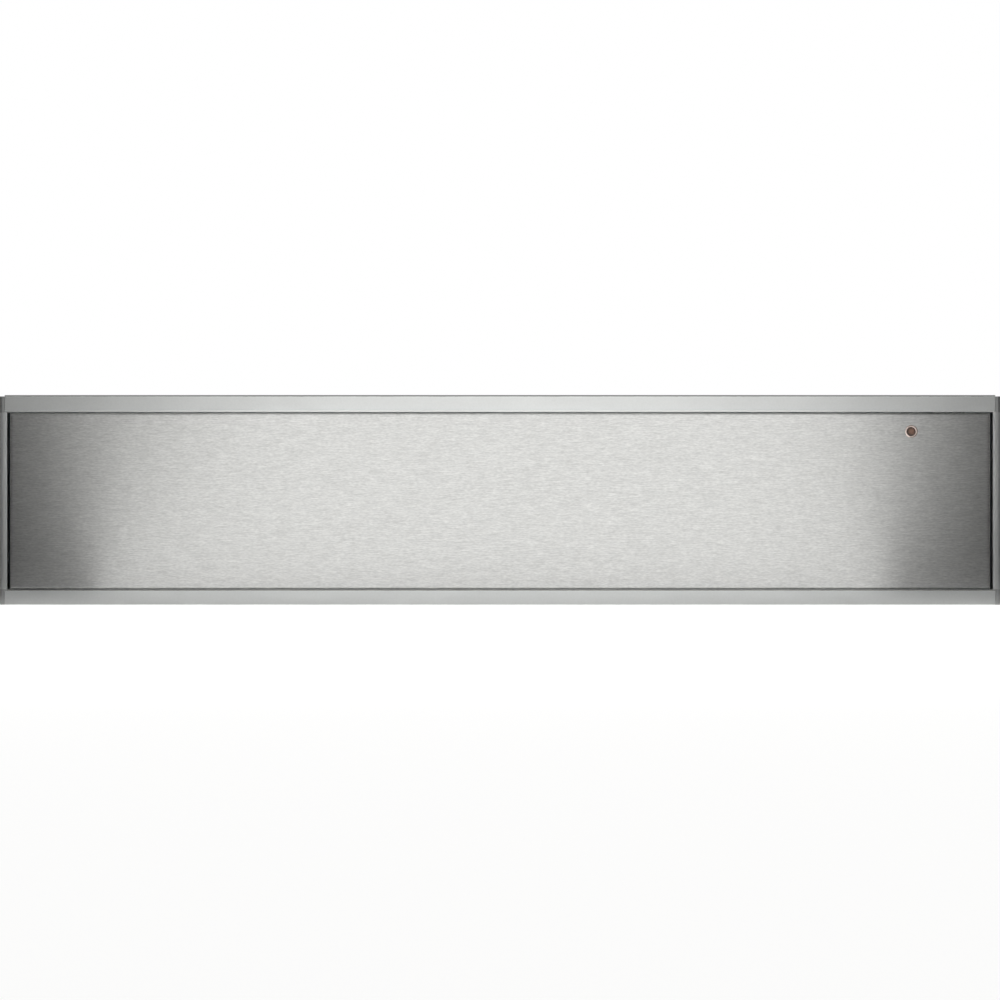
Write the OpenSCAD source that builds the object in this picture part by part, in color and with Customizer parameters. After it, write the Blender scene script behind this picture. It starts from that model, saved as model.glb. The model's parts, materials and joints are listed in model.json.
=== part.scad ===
// Warming drawer for a standard 60 cm housing, closed at rest.
// +X is to the user's right, the front face looks along -Y, and +Z is up.
// The origin is the centre of the part's base. All sizes are in millimetres.

/* [Front frame] */
// Width of the front frame
frame_w = 594; // [588:1:602]
// Height of the front frame
frame_h = 124; // [122:1:140]
// Height of the bottom trim strip
bottom_strip_h = 9.1; // [7:0.1:10]
// Height of the top trim strip
top_strip_h = 10.1; // [8:0.1:11]
// Face width of a side trim, with its lip
side_trim_w = 5.7; // [4.6:0.1:6]
// Width of the lip that a side trim shows beside the drawer front
side_lip_w = 2.5; // [1.8:0.1:2.8]
// Wall of the aluminium trims
trim_wall = 1.5; // [1.2:0.1:1.8]
// How far a side trim's outer face slopes back
side_slope = 1; // [0.5:0.1:2]
// Chamfer along the front edges of the trim strips
strip_chamfer = 0.8; // [0.3:0.1:0.9]
// Chamfer along the frame's lowest edge
foot_chamfer = 0.3; // [0.2:0.1:0.6]
// How far a side trim's lip slopes back towards the drawer front
lip_slope = 0.25; // [0.1:0.05:0.4]
// Seam between the end of a strip and a side trim
seam_w = 1.2; // [0.6:0.1:1.8]
// Depth of that seam
seam_d = 0.7; // [0.4:0.1:1]
// How far the side trims stop below the top strip
side_trim_drop = 0.8; // [0.4:0.1:1.2]

/* [Drawer front] */
// Dark gap at the two ends of the drawer front
reveal = 1.8; // [1:0.1:2.5]
// Gap above the drawer front
reveal_v = 0.6; // [0.5:0.1:1.5]
// Gap below the drawer front
reveal_low = 0.5; // [0.4:0.1:1.5]
// How far the drawer front sits behind the frame
front_recess = 0.5; // [0.2:0.1:1.5]
// Thickness of the drawer front
front_t = 19; // [16:0.5:22]
// Gap behind the drawer front that lets it be pushed in
push_gap = 3; // [2.9:0.1:5]
// Steel sheet of the drawer front
front_sheet = 1; // [0.8:0.1:1.5]
// Outer radius of the bends round the drawer front
front_bend_r = 1.4; // [1:0.1:1.8]

/* [Casing] */
// Depth of the whole unit
overall_d = 550; // [530:1:580]
// Width of the casing behind the frame
casing_w = 556; // [550:1:560]
// Casing sheet
sheet = 1; // [0.8:0.1:1.2]
// Thickness of the mounting flange
flange_t = 1.5; // [1.2:0.1:2]
// Height of the rubber foot pads
foot_h = 2; // [1.5:0.1:3]
// How far the top cover lies below the top of the frame
top_drop = 1; // [0.5:0.1:1.5]
// Height of the folded lips of base and cover
fold_h = 10; // [8:0.5:10]
// Rear edge of the casing behind the rear panel
rear_recess = 6; // [5.5:0.1:8]
// Radius of the four housing fixing holes
fixing_r = 2.25; // [2:0.05:2.75]
// Height of the lower fixing holes
fixing_low = 30; // [26:1:34]
// Height of the upper fixing holes
fixing_high = 94; // [90:1:98]

/* [Control recess] */
// Width of the recess that holds the knob and the lamp
control_w = 38; // [37:0.5:40]
// Height of the recess
control_h = 54; // [52:0.5:55]
// Depth of the recess to its floor
control_d = 17; // [16:0.5:20]
// Wall of the recess moulding
bezel_wall = 1.5; // [1.2:0.1:1.8]
// Radius of the knob's skirt
knob_r = 13; // [11:0.5:14]
// Length of the knob
knob_len = 14; // [11:0.5:15]
// Radius of the indicator lamp and of its light guide
lamp_r = 2.4; // [2:0.1:2.8]
// Depth of the lamp's centre below the top of the recess
lamp_drop = 13.5; // [12:0.1:14]

/* [Runners] */
// Thickness of a runner, casing side to drawer side
rail_t = 12.7; // [12.5:0.1:14]
// Height of the runners' centre line
rail_z = 36; // [35:0.5:37]
// Ball radius
ball_r = 1.6; // [1.4:0.05:1.6]
// Balls in one row of a cage
balls = 6; // [4:1:8]
// Sheet of the rail brackets
bracket_t = 1.5; // [1:0.1:2]
// Gap between the drawer's side and the control recess
side_gap = 6.5; // [5:0.5:8]

/* [Drawer box] */
// Height of the drawer's walls
tray_h = 64; // [62:1:78]
// Underside of the drawer's floor
tray_z = 14; // [13.5:0.5:15]
// Drawer sheet
tray_sheet = 1; // [0.8:0.1:1.2]
// Width of the folded rim along the drawer's sides
rim_w = 7; // [5:0.5:10]
// Thickness of the glass base
glass_t = 4; // [3:0.5:5]
// Gap round the glass base
glass_gap = 1; // [0.5:0.1:2]
// Height of the silicone strips under the glass
rest_h = 1.5; // [1:0.1:2.5]

/* [Rear compartment] */
// Depth behind the drawer for the fan and the electrics
rear_bay = 85; // [84:1:95]
// Gap between the closed drawer and the air baffle
baffle_gap = 6; // [5.5:0.5:8]
// Centre of the fan, left of the middle
fan_x = -120; // [-130:1:-115]
// Radius of the fan's impeller
impeller_r = 40; // [34:1:42]
// Height of the fan's centre
fan_z = 62; // [60:1:64]
// Radius of the heater tube
heater_r = 3.25; // [2.5:0.25:3.5]
// Ring heater's radius over its tube's centre line
heater_ring_r = 49; // [47:0.5:50]
// Height of the touch latch
latch_z = 46; // [44:1:50]
// Radius of the latch's plunger
plunger_r = 5; // [4:0.25:6]
// Stroke of the latch when the front is pushed
push_travel = 2.5; // [2:0.1:2.6]

/* [Hidden] */
$fn = 48;

// Gap between parts that move past each other, and round fasteners
clear = 0.3;
hole_gap = 0.1;
shaft_gap = 0.08;

// Depth planes, front to back
y_front = -overall_d / 2;
y_rear = overall_d / 2;
y_panel = y_front + front_recess;
y_back = y_panel + front_t;
y_flange = y_back + push_gap;
y_body = y_flange + flange_t;
y_rear_panel = y_rear - rear_recess;
y_tray_rear = y_rear - rear_bay;
y_baffle = y_tray_rear + baffle_gap;

// Casing
casing_hw = casing_w / 2;
wall_in = casing_hw - sheet;
fold_in = wall_in - sheet;
z_base = foot_h + sheet;
z_cover = frame_h - top_drop - sheet;
z_top = frame_h - top_drop;

// Front frame
frame_hw = frame_w / 2;
strip_hw = frame_hw - side_trim_w + side_lip_w - seam_w;
lip_x = frame_hw - side_trim_w;
flange_margin = 1;
flange_hw = frame_hw - flange_margin;
fixing_x = casing_hw + 8;

// Drawer front
panel_hw = lip_x - reveal;
panel_z0 = bottom_strip_h + reveal_low;
panel_z1 = frame_h - top_strip_h - reveal_v;

// Control recess and what sits in it
pocket_x1 = casing_hw - 2.5;
pocket_x0 = pocket_x1 - control_w;
pocket_z1 = frame_h - 8;
pocket_z0 = pocket_z1 - control_h;
bezel_rim = 2;
y_floor = y_flange + control_d;
y_bezel_back = y_floor + bezel_wall;
knob_x = (pocket_x0 + pocket_x1) / 2;
knob_z = pocket_z0 + 20;
knob_stand_off = 0.5;
y_knob = y_floor - knob_stand_off - knob_len;
shaft_r = 3;
lamp_wall = 1.5;
lamp_x = pocket_x0 + bezel_wall + lamp_r + lamp_wall + 0.2;
lamp_z = pocket_z1 - lamp_drop;
selector_w = 22;
selector_h = 26;
selector_d = 18;
y_selector = y_bezel_back + selector_d;

// Drawer box and runners
drawer_hw = pocket_x0 - side_gap;
window_gap = 2;
bracket_x = drawer_hw + rail_t;
rail_sheet = 1.2;
race_r = ball_r + 0.1;
race_out = race_r + rail_sheet;
race_gap = 0.6;
outer_u = 2.4 + race_out + 0.1;
inner_u = rail_t - race_out - 0.8;
outer_v = 20;
inner_v = 16.5;
rail_half = outer_v + race_out;
cage_t = 0.6;
outer_y0 = y_body + 0.5;
outer_y1 = y_baffle - 1.5;
mid_y0 = outer_y0 + 1;
mid_y1 = outer_y1 - 1;
travel = outer_y1 - outer_y0 - 5;
outer_cage_y0 = outer_y0 + travel / 4 + 2.5;
inner_cage_y0 = mid_y0 + travel / 4 + 1.5;
outer_cage_len = (outer_y1 - outer_y0) / 2 - 2.5;
inner_cage_len = outer_cage_len - 4;

tray_in = drawer_hw - tray_sheet;
tray_top = tray_z + tray_h;
tray_floor_top = tray_z + tray_sheet;
y_tray_front = y_back + tray_sheet;
y_tray_back = y_tray_rear - tray_sheet;
glass_z = tray_floor_top + rest_h;
rim_drop = 5;

// Rear compartment
duct_y = y_baffle + 36;
latch_flange_hw = 22;
duct_hw = -fan_x - latch_flange_hw - 2;
duct_z0 = z_base + 4;
duct_z1 = z_cover - 4;
blade_depth = 20;
blade_t = 1.2;
back_plate_t = 1.5;
hub_r = 9;
y_blades = y_baffle + sheet + 7;
y_impeller_back = y_blades + blade_depth;
fan_shaft_r = 2.5;
shaft_in_motor = 11;
y_heater = y_baffle + 18;
heater_leg_r = 2.5;
heater_tail = 6;
heater_gap = 30;
motor_r = 30;
motor_len = 28;
y_motor = duct_y + sheet;
cutout_r = 8;
cutout_t = 6;
cutout_tab = 6;
sensor_x = 60;
sensor_z = 95;
sensor_r = 2.5;
module_left = 90;
module_right = 220;
module_y0 = y_baffle + 4;
module_y1 = y_rear_panel - 9;
module_z1 = 100;
module_wall = 2;
case_slot_w = 2;
case_slot_pitch = 5;
case_slot_y = 12;
board_t = 1.6;
board_post_r = 3;
board_post_h = 6;
board_edge = 3;
transformer_x = 16;
transformer_y = 16;
transformer_w = 32;
transformer_d = 28;
transformer_h = 26;
relay_x = 60;
relay_y = 14;
relay_w = 19;
relay_d = 16;
relay_h = 15;
capacitor_x = 66;
capacitor_y = 44;
capacitor_r = 6;
capacitor_h = 20;
capacitor_pitch = 18;
vent_z0 = 28;
vent_z1 = 52;
inlet_x = 243;
inlet_screw_x = 19.6;
inlet_flange_t = 2;
inlet_z = 60;
inlet_d = 25;
strike_t = 2;
y_strike = y_tray_rear + strike_t;
plunger_head_t = 3;
plunger_head_r = plunger_r + 2;
y_plunger_neck = y_strike + clear + plunger_head_t;
plunger_len = 34;
housing_flange_t = 2;
y_housing_end = y_rear_panel - 9;
latch_bore_r = plunger_r + hole_gap;
latch_floor = 4;

// Fasteners
screw_r = 1.5;
screw_hole_r = screw_r + hole_gap;
head_r = 2.4;
head_t = 1.6;
trim_screw_x = [-200, 0, 200];
trim_boss_l = 10;
trim_screw_low = trim_wall + (bottom_strip_h - 2 * trim_wall) / 2 + 1.2;
trim_screw_high = frame_h - trim_wall - (top_strip_h - 2 * trim_wall) / 2 - 0.5;
bracket_screw_y = [y_body + 50, (y_body + y_baffle) / 2, y_baffle - 30];
bracket_screw_z = rail_z + rail_half + 4;
rear_screw_z = [30, 94];
rear_screw_x = casing_hw - 7;
front_screw_x = 200;
front_screw_z = [30, 62];
front_screw_r = 2;
front_head_r = 3.5;
front_screw_len = 8;
rivet_y = [y_body + 75, (y_body + y_tray_rear) / 2, y_tray_rear - 40];

// Leads: straight runs with rounded corners, r is the lead's own radius
control_lead_r = 2;
control_lead_x = knob_x + 5;
control_lead_z = knob_z + 8;
control_lead_y = y_baffle + 34;
lead_bend = 10;
clip_w = 6;
clip_half_h = 6;
clip_web = 1;
clip_wall = 1.2;
clip_pitch = 120;
clip_y = [for (i = [0 : 2]) y_baffle - clip_w * 5 - i * clip_pitch];
lead_sides = 8;
bend_steps = 4;

// Block between two corners
module block(x0, x1, y0, y1, z0, z1) {
    translate([x0, y0, z0]) cube([x1 - x0, y1 - y0, z1 - z0]);
}

// Both sides of the middle plane
module both_sides() {
    children();
    mirror([1, 0, 0]) children();
}

// Rod or hole along Y
module rod_y(r, y0, y1) {
    translate([0, y0, 0]) rotate([-90, 0, 0]) cylinder(r = r, h = y1 - y0);
}

// Rod or hole along X
module rod_x(r, x0, x1) {
    translate([x0, 0, 0]) rotate([0, 90, 0]) cylinder(r = r, h = x1 - x0);
}

// Outline in X and Z, drawn out along Y
module along_y(y0, y1) {
    translate([0, y1, 0]) rotate([90, 0, 0]) linear_extrude(y1 - y0) children();
}

// Outline in Y and Z, drawn out along X
module along_x(x0, x1) {
    translate([x0, 0, 0]) rotate([90, 0, 90]) linear_extrude(x1 - x0) children();
}

// Row of upright vent slots through a wall that faces Y
module slots(x0, pitch, count, y0, y1, z0, z1, w) {
    for (i = [0 : count - 1])
        block(x0 + i * pitch, x0 + i * pitch + w, y0, y1, z0, z1);
}

// Screw along Y with its head at the rear and its shank pointing forward
module screw_y(y_seat, len, r = screw_r, head = head_r) {
    rod_y(head, y_seat, y_seat + head_t);
    rod_y(r, y_seat - len, y_seat);
}

// Lead through a list of corners, with a bend of the given radius at each
function unit(v) = v / norm(v);
function bend_points(a, p, b, r) = [
    for (t = [0 : 22.5 : 90])
        p + r * ((1 - sin(t)) * unit(a - p) + (1 - cos(t)) * unit(b - p))
];
function rounded(c, r) = [
    for (i = [0 : len(c) - 1])
        each (i == 0 || i == len(c) - 1 ? [c[i]] : bend_points(c[i - 1], c[i], c[i + 1], r))
];
function tangent(p, i) = unit(p[min(i + 1, len(p) - 1)] - p[max(i - 1, 0)]);
function across(p, i) = let (
    t = tangent(p, i),
    u = i == 0 ? (abs(t.z) > 0.5 ? [1, 0, 0] : [0, 0, 1]) : across(p, i - 1)
) unit(u - (u * t) * t);
module lead(corners, bend, r) {
    path = rounded(corners, bend);
    n = lead_sides;
    last = len(path) - 1;
    rings = [
        for (i = [0 : last], k = [0 : n - 1])
            let (u = across(path, i), v = cross(tangent(path, i), u), a = 360 * k / n)
            path[i] + r * (cos(a) * u + sin(a) * v)
    ];
    sides = [
        for (i = [0 : last - 1], k = [0 : n - 1], half = [0, 1])
            let (a = i * n + k, b = i * n + (k + 1) % n)
            half == 0 ? [a, a + n, b] : [b, a + n, b + n]
    ];
    near_end = [for (k = [0 : n - 1]) k];
    far_end = [for (k = [n - 1 : -1 : 0]) last * n + k];
    polyhedron(points = rings, faces = concat(sides, [near_end, far_end]));
}

// ---- Casing ----

module casing_base() {
    color("lightsteelblue") difference() {
        union() {
            block(-wall_in, wall_in, y_body, y_rear, foot_h, z_base);
            both_sides() block(fold_in, wall_in, y_body, y_rear_panel, z_base, foot_h + fold_h);
            block(
                -rear_screw_x + 20, rear_screw_x - 20, y_rear_panel - sheet, y_rear_panel,
                z_base, foot_h + fold_h
            );
        }
        // Cooling slots under the fan motor
        slots(fan_x - 40, 12, 7, y_motor + 6, y_rear_panel - 8, 0, z_base + 1, 4);
    }
}

// Right wall: flat sheet with a front and a rear lip folded inwards
module casing_wall() {
    lip_z0 = foot_h + fold_h + 1;
    difference() {
        union() {
            block(wall_in, casing_hw, y_body, y_rear, foot_h, z_cover);
            block(wall_in - fold_h, wall_in, y_body, y_body + sheet, lip_z0, rail_z + rail_half - 2);
            block(wall_in - fold_h, wall_in, y_rear_panel - sheet, y_rear_panel, lip_z0, z_top - fold_h - 2);
        }
        for (y = bracket_screw_y)
            translate([0, y, bracket_screw_z]) rod_x(screw_hole_r, wall_in - 1, casing_hw + 1);
        for (z = rear_screw_z)
            translate([rear_screw_x, 0, z]) rod_y(screw_hole_r, y_rear_panel - sheet - 1, y_rear_panel + 1);
    }
}

module casing_right_wall() {
    color("lightsteelblue") casing_wall();
}

module casing_left_wall() {
    color("lightsteelblue") mirror([1, 0, 0]) casing_wall();
}

module casing_top_cover() {
    color("lightsteelblue") difference() {
        union() {
            block(-casing_hw, casing_hw, y_body, y_rear, z_cover, z_top);
            both_sides() block(fold_in, wall_in, y_body, y_rear_panel - 2, z_top - fold_h - sheet, z_cover);
        }
        // Cooling slots over the electrics
        slots(module_left + 10, 14, 9, module_y0 + 8, module_y1 - 8, z_cover - 1, z_top + 1, 4);
    }
}

module casing_rear_panel() {
    color("lightsteelblue") difference() {
        block(-wall_in, wall_in, y_rear_panel, y_rear_panel + sheet, z_base, z_cover);
        // Opening for the mains inlet
        block(inlet_x - 13.5, inlet_x + 13.5, y_rear_panel - 1, y_rear, inlet_z - 10, inlet_z + 10);
        // Vent slots behind the fan motor and the electrics
        slots(fan_x - 39, 8, 10, y_rear_panel - 1, y_rear, fan_z - 22, fan_z + 22, 4);
        slots(module_left + 8, 8, 12, y_rear_panel - 1, y_rear, vent_z0, vent_z1, 4);
        both_sides() for (z = rear_screw_z)
            translate([rear_screw_x, 0, z]) rod_y(screw_hole_r, y_rear_panel - 1, y_rear);
        for (side = [-1, 1])
            translate([inlet_x + side * inlet_screw_x, 0, inlet_z])
                rod_y(screw_hole_r, y_rear_panel - 1, y_rear);
    }
}

module front_flange() {
    window_hw = drawer_hw + window_gap;
    color("silver") difference() {
        block(-flange_hw, flange_hw, y_flange, y_body, flange_margin, frame_h - flange_margin);
        block(-window_hw, window_hw, y_flange - 1, y_body + 1, tray_z - window_gap, z_cover - fold_h);
        // The drawer's runners slide out through the lower corners
        block(
            -bracket_x + 1, bracket_x - 1, y_flange - 1, y_body + 1,
            rail_z - outer_v - 1, rail_z + outer_v + 1
        );
        block(pocket_x0, pocket_x1, y_flange - 1, y_body + 1, pocket_z0, pocket_z1);
        both_sides() for (z = [fixing_low, fixing_high])
            translate([fixing_x, 0, z]) rod_y(fixing_r, y_flange - 1, y_body + 1);
        for (x = trim_screw_x, z = [trim_screw_low, trim_screw_high])
            translate([x, 0, z]) rod_y(screw_hole_r, y_flange - 1, y_body + 1);
    }
}

// ---- Front frame ----

// Hollow strip with chamfered front edges, open to the rear, with screw bosses
module trim_strip(z0, z1, screw_z, low_c) {
    c = strip_chamfer;
    w = trim_wall;
    difference() {
        along_x(-strip_hw, strip_hw) polygon([
            [y_front + low_c, z0], [y_flange, z0], [y_flange, z1],
            [y_front + c, z1], [y_front, z1 - c], [y_front, z0 + low_c]
        ]);
        difference() {
            block(-strip_hw + w, strip_hw - w, y_front + w, y_flange + 1, z0 + w, z1 - w);
            for (x = trim_screw_x)
                block(x - trim_boss_l / 2, x + trim_boss_l / 2, y_flange - 10, y_flange + 2, z0, z1);
        }
        for (x = trim_screw_x)
            translate([x, 0, screw_z]) rod_y(screw_hole_r, y_flange - 9, y_flange + 1);
    }
}

module frame_top_trim() {
    color("silver") trim_strip(frame_h - top_strip_h, frame_h, trim_screw_high, strip_chamfer);
}

module frame_bottom_trim() {
    color("silver") trim_strip(0, bottom_strip_h, trim_screw_low, foot_chamfer);
}

// Right side trim: an outer body that slopes back, and a lip only beside the drawer front
module side_trim() {
    w = trim_wall;
    body_w = side_trim_w - side_lip_w;
    z1 = frame_h - side_trim_drop;
    difference() {
        linear_extrude(z1) polygon([
            [lip_x, y_front + lip_slope], [frame_hw - body_w, y_front],
            [frame_hw, y_front + side_slope],
            [frame_hw, y_flange], [lip_x, y_flange]
        ]);
        translate([0, 0, -1]) linear_extrude(z1 + 2) polygon([
            [lip_x + w, y_front + w + lip_slope], [frame_hw - body_w, y_front + w + lip_slope],
            [frame_hw - w, y_front + w + side_slope],
            [frame_hw - w, y_flange + 1], [lip_x + w, y_flange + 1]
        ]);
        // Room for the ends of the strips, and the shallow seam beside them
        for (z = [[-1, bottom_strip_h], [frame_h - top_strip_h, z1 + 1]]) {
            block(lip_x - 1, strip_hw + hole_gap, y_front - 1, y_flange + 1, z[0], z[1]);
            block(lip_x, lip_x + side_lip_w, y_front - 1, y_front + seam_d, z[0], z[1]);
        }
    }
}

module frame_right_trim() {
    color("silver") side_trim();
}

module frame_left_trim() {
    color("silver") mirror([1, 0, 0]) side_trim();
}

module foot_pads() {
    color("dimgray") both_sides() {
        translate([casing_hw - 40, y_body + 40, 0]) cylinder(r = 15, h = foot_h);
        translate([casing_hw - 40, y_rear - 40, 0]) cylinder(r = 15, h = foot_h);
    }
}

module stop_buffers() {
    buffer_h = push_gap - push_travel - hole_gap;
    color("dimgray") both_sides() for (z = [fixing_low + 16, fixing_high - 16])
        translate([fixing_x, 0, z]) rod_y(4, y_flange - buffer_h, y_flange);
}

// ---- Runners ----

// Half section of a runner, drawn above its centre line: u from the bracket towards the drawer
module race(u, v, upper) {
    intersection() {
        translate([u, v]) difference() {
            circle(r = race_out);
            circle(r = race_r);
        }
        translate([u - 5, upper ? v + race_gap : v - race_gap - 5]) square([10, 5]);
    }
}

module outer_section() {
    flat_z = outer_v + race_gap;
    end_u = inner_u + race_out;
    race(outer_u, outer_v, true);
    square([rail_sheet, flat_z + rail_sheet]);
    difference() {
        translate([0, flat_z]) square([end_u, rail_sheet]);
        translate([outer_u, outer_v]) circle(r = (race_r + race_out) / 2);
    }
}

module mid_section() {
    flat_z = outer_v - race_gap;
    race(outer_u, outer_v, false);
    race(inner_u, inner_v, true);
    translate([outer_u - race_out, 0]) square([rail_sheet, flat_z]);
}

module inner_section() {
    flat_z = inner_v - race_gap;
    race(inner_u, inner_v, false);
    translate([rail_t - rail_sheet, 0]) square([rail_sheet, flat_z]);
    translate([inner_u + race_r + 0.3, flat_z - rail_sheet])
        square([rail_t - inner_u - race_r - 0.3, rail_sheet]);
}

// A cage's half section: an upright web and the flange that holds the balls
module cage_section(web_u, v, end_u) {
    translate([web_u, 0]) square([0.4, v + cage_t / 2]);
    translate([web_u, v - cage_t / 2]) square([end_u - web_u, cage_t]);
}

// Right-hand runner member: the half section and its mirror image, drawn out along Y
module rail(y0, y1) {
    translate([bracket_x, 0, rail_z]) mirror([1, 0, 0]) along_y(y0, y1) {
        children();
        mirror([0, 1]) children();
    }
}

module cage(y0, len, web_u, u, v) {
    pitch = len / balls;
    difference() {
        rail(y0, y0 + len) cage_section(web_u, v, u + race_r + 0.4);
        for (i = [0 : balls - 1])
            translate([bracket_x - u, y0 + (i + 0.5) * pitch, rail_z - v - 1])
                cylinder(r = ball_r + hole_gap, h = 2 * v + 2);
    }
    for (i = [0 : balls - 1], side = [-1, 1])
        translate([bracket_x - u, y0 + (i + 0.5) * pitch, rail_z + side * v]) sphere(r = ball_r);
}

module outer_rail() {
    rail(outer_y0, outer_y1) outer_section();
}

module mid_rail() {
    rail(mid_y0, mid_y1) mid_section();
}

module inner_rail() {
    difference() {
        rail(outer_y0 + 0.5, y_tray_back) inner_section();
        for (y = rivet_y)
            translate([0, y, rail_z]) rod_x(screw_hole_r, drawer_hw - 1, drawer_hw + rail_sheet + 1);
    }
}

module outer_cage() {
    cage(outer_cage_y0, outer_cage_len, rail_sheet + 0.4, outer_u, outer_v);
}

module inner_cage() {
    cage(inner_cage_y0, inner_cage_len, outer_u - 0.8, inner_u, inner_v);
}

module outer_rail_right() {
    color("gainsboro") outer_rail();
}

module outer_rail_left() {
    color("gainsboro") mirror([1, 0, 0]) outer_rail();
}

module mid_rail_right() {
    color("gainsboro") mid_rail();
}

module mid_rail_left() {
    color("gainsboro") mirror([1, 0, 0]) mid_rail();
}

module inner_rail_right() {
    color("gainsboro") inner_rail();
}

module inner_rail_left() {
    color("gainsboro") mirror([1, 0, 0]) inner_rail();
}

module outer_cage_right() {
    color("darkgray") outer_cage();
}

module outer_cage_left() {
    color("darkgray") mirror([1, 0, 0]) outer_cage();
}

module inner_cage_right() {
    color("darkgray") inner_cage();
}

module inner_cage_left() {
    color("darkgray") mirror([1, 0, 0]) inner_cage();
}

// Bracket between a runner and the casing wall: a channel open to the wall, with a screw lip
module runner_bracket() {
    z0 = rail_z - rail_half;
    z1 = rail_z + rail_half;
    y0 = y_body + sheet + 1;
    difference() {
        union() {
            block(bracket_x, bracket_x + bracket_t, y0, outer_y1, z0, z1);
            block(bracket_x + bracket_t, wall_in, y0, outer_y1, z0, z0 + bracket_t);
            block(bracket_x + bracket_t, wall_in, y0, outer_y1, z1 - bracket_t, z1);
            block(wall_in - bracket_t, wall_in, y0, outer_y1, z1, z1 + 9);
        }
        for (y = bracket_screw_y)
            translate([0, y, bracket_screw_z]) rod_x(screw_hole_r, wall_in - bracket_t - 1, wall_in + 1);
    }
}

module runner_bracket_right() {
    color("lightsteelblue") runner_bracket();
}

module runner_bracket_left() {
    color("lightsteelblue") mirror([1, 0, 0]) runner_bracket();
}

// ---- Control recess ----

module control_bezel() {
    w = bezel_wall;
    color("dimgray") difference() {
        union() {
            block(pocket_x0, pocket_x1, y_flange, y_bezel_back, pocket_z0, pocket_z1);
            // Rim that grips the flange from behind
            block(
                pocket_x0 - bezel_rim, fold_in, y_body, y_body + sheet,
                pocket_z0 - bezel_rim, pocket_z1 + bezel_rim
            );
        }
        difference() {
            block(pocket_x0 + w, pocket_x1 - w, y_flange - 1, y_floor, pocket_z0 + w, pocket_z1 - w);
            translate([lamp_x, 0, lamp_z]) rod_y(lamp_r + lamp_wall, y_flange + 0.2, y_floor + 1);
        }
        translate([lamp_x, 0, lamp_z]) rod_y(lamp_r + hole_gap / 2, y_flange - 1, y_bezel_back + 1);
        translate([knob_x, 0, knob_z]) rod_y(shaft_r + 1.5, y_floor - 1, y_bezel_back + 1);
    }
}

module rotary_selector() {
    color("darkslategray") difference() {
        union() {
            block(
                knob_x - selector_w / 2, knob_x + selector_w / 2, y_bezel_back, y_selector,
                knob_z - selector_h / 2, knob_z + selector_h / 2
            );
            // Neck that fills the hole in the recess's floor
            translate([knob_x, 0, knob_z]) rod_y(shaft_r + 1.5, y_floor, y_bezel_back + 1);
        }
        translate([knob_x, 0, knob_z]) rod_y(shaft_r + shaft_gap, y_floor - 1, y_selector - 3);
    }
}

module selector_shaft() {
    color("silver") translate([knob_x, 0, knob_z]) rod_y(shaft_r, y_knob + 3, y_selector - 4);
}

// Knob with a skirt, a fluted grip and a pointer groove
module temperature_knob() {
    grip_r = knob_r - 3;
    flutes = 16;
    skirt_t = 2.5;
    y_skirt = y_knob + knob_len - skirt_t;
    color("gray") translate([knob_x, 0, knob_z]) difference() {
        union() {
            rod_y(knob_r, y_skirt, y_skirt + skirt_t);
            rod_y(grip_r, y_knob, y_skirt);
        }
        for (i = [0 : flutes - 1])
            rotate([0, (i + 0.5) * 360 / flutes, 0]) translate([grip_r + 0.5, 0, 0])
                rod_y(1.3, y_knob - 1, y_skirt);
        block(-0.5, 0.5, y_knob - 1, y_knob + 0.8, 2, grip_r + 1);
        rod_y(shaft_r + hole_gap / 2, y_knob + 3, y_knob + knob_len + 1);
    }
}

module indicator_lamp() {
    color("saddlebrown") translate([lamp_x, 0, lamp_z]) {
        rod_y(lamp_r, y_flange, y_bezel_back);
        rod_y(lamp_r + 1, y_bezel_back, y_bezel_back + 8);
    }
}

module control_lead() {
    color("white") lead([
        [control_lead_x, y_selector, control_lead_z],
        [control_lead_x, control_lead_y, control_lead_z],
        [module_right, control_lead_y, control_lead_z]
    ], lead_bend, control_lead_r);
}

// Clips that hold the control lead to the right wall
module cable_clips() {
    r = control_lead_r;
    h = clip_w / 2;
    color("whitesmoke") for (y = clip_y) difference() {
        union() {
            block(
                control_lead_x, wall_in, y - h, y + h,
                control_lead_z - clip_web, control_lead_z + clip_web
            );
            block(
                wall_in - clip_wall, wall_in, y - h, y + h,
                control_lead_z - clip_half_h, control_lead_z + clip_half_h
            );
            translate([control_lead_x, 0, control_lead_z]) rod_y(r + clip_wall, y - h, y + h);
        }
        translate([control_lead_x, 0, control_lead_z]) rod_y(r + hole_gap, y - h - 1, y + h + 1);
    }
}

// ---- Rear compartment ----

module air_baffle() {
    rear = y_baffle + sheet;
    color("lightsteelblue") difference() {
        block(-fold_in, fold_in, y_baffle, rear, z_base, z_cover);
        // Air intake ahead of the impeller
        translate([fan_x, 0, fan_z]) rod_y(3, y_baffle - 1, rear + 1);
        for (ring = [1 : 3], i = [0 : 6 * ring - 1])
            translate([fan_x, 0, fan_z]) rotate([0, i * 60 / ring, 0]) translate([9 * ring, 0, 0])
                rod_y(3, y_baffle - 1, rear + 1);
        // Hot-air outlets on both sides of the ring heater
        slots(fan_x - duct_hw + 8, 9, 4, y_baffle - 1, rear + 1, 24, 100, 5);
        slots(fan_x + duct_hw - 40, 9, 4, y_baffle - 1, rear + 1, 24, 100, 5);
        // Latch plunger, control lead and temperature sensor
        translate([0, 0, latch_z]) rod_y(plunger_head_r + 1, y_baffle - 1, rear + 1);
        translate([control_lead_x, 0, control_lead_z]) rod_y(control_lead_r + 1, y_baffle - 1, rear + 1);
        translate([sensor_x, 0, sensor_z]) rod_y(sensor_r + 1, y_baffle - 1, rear + 1);
    }
}

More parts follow.
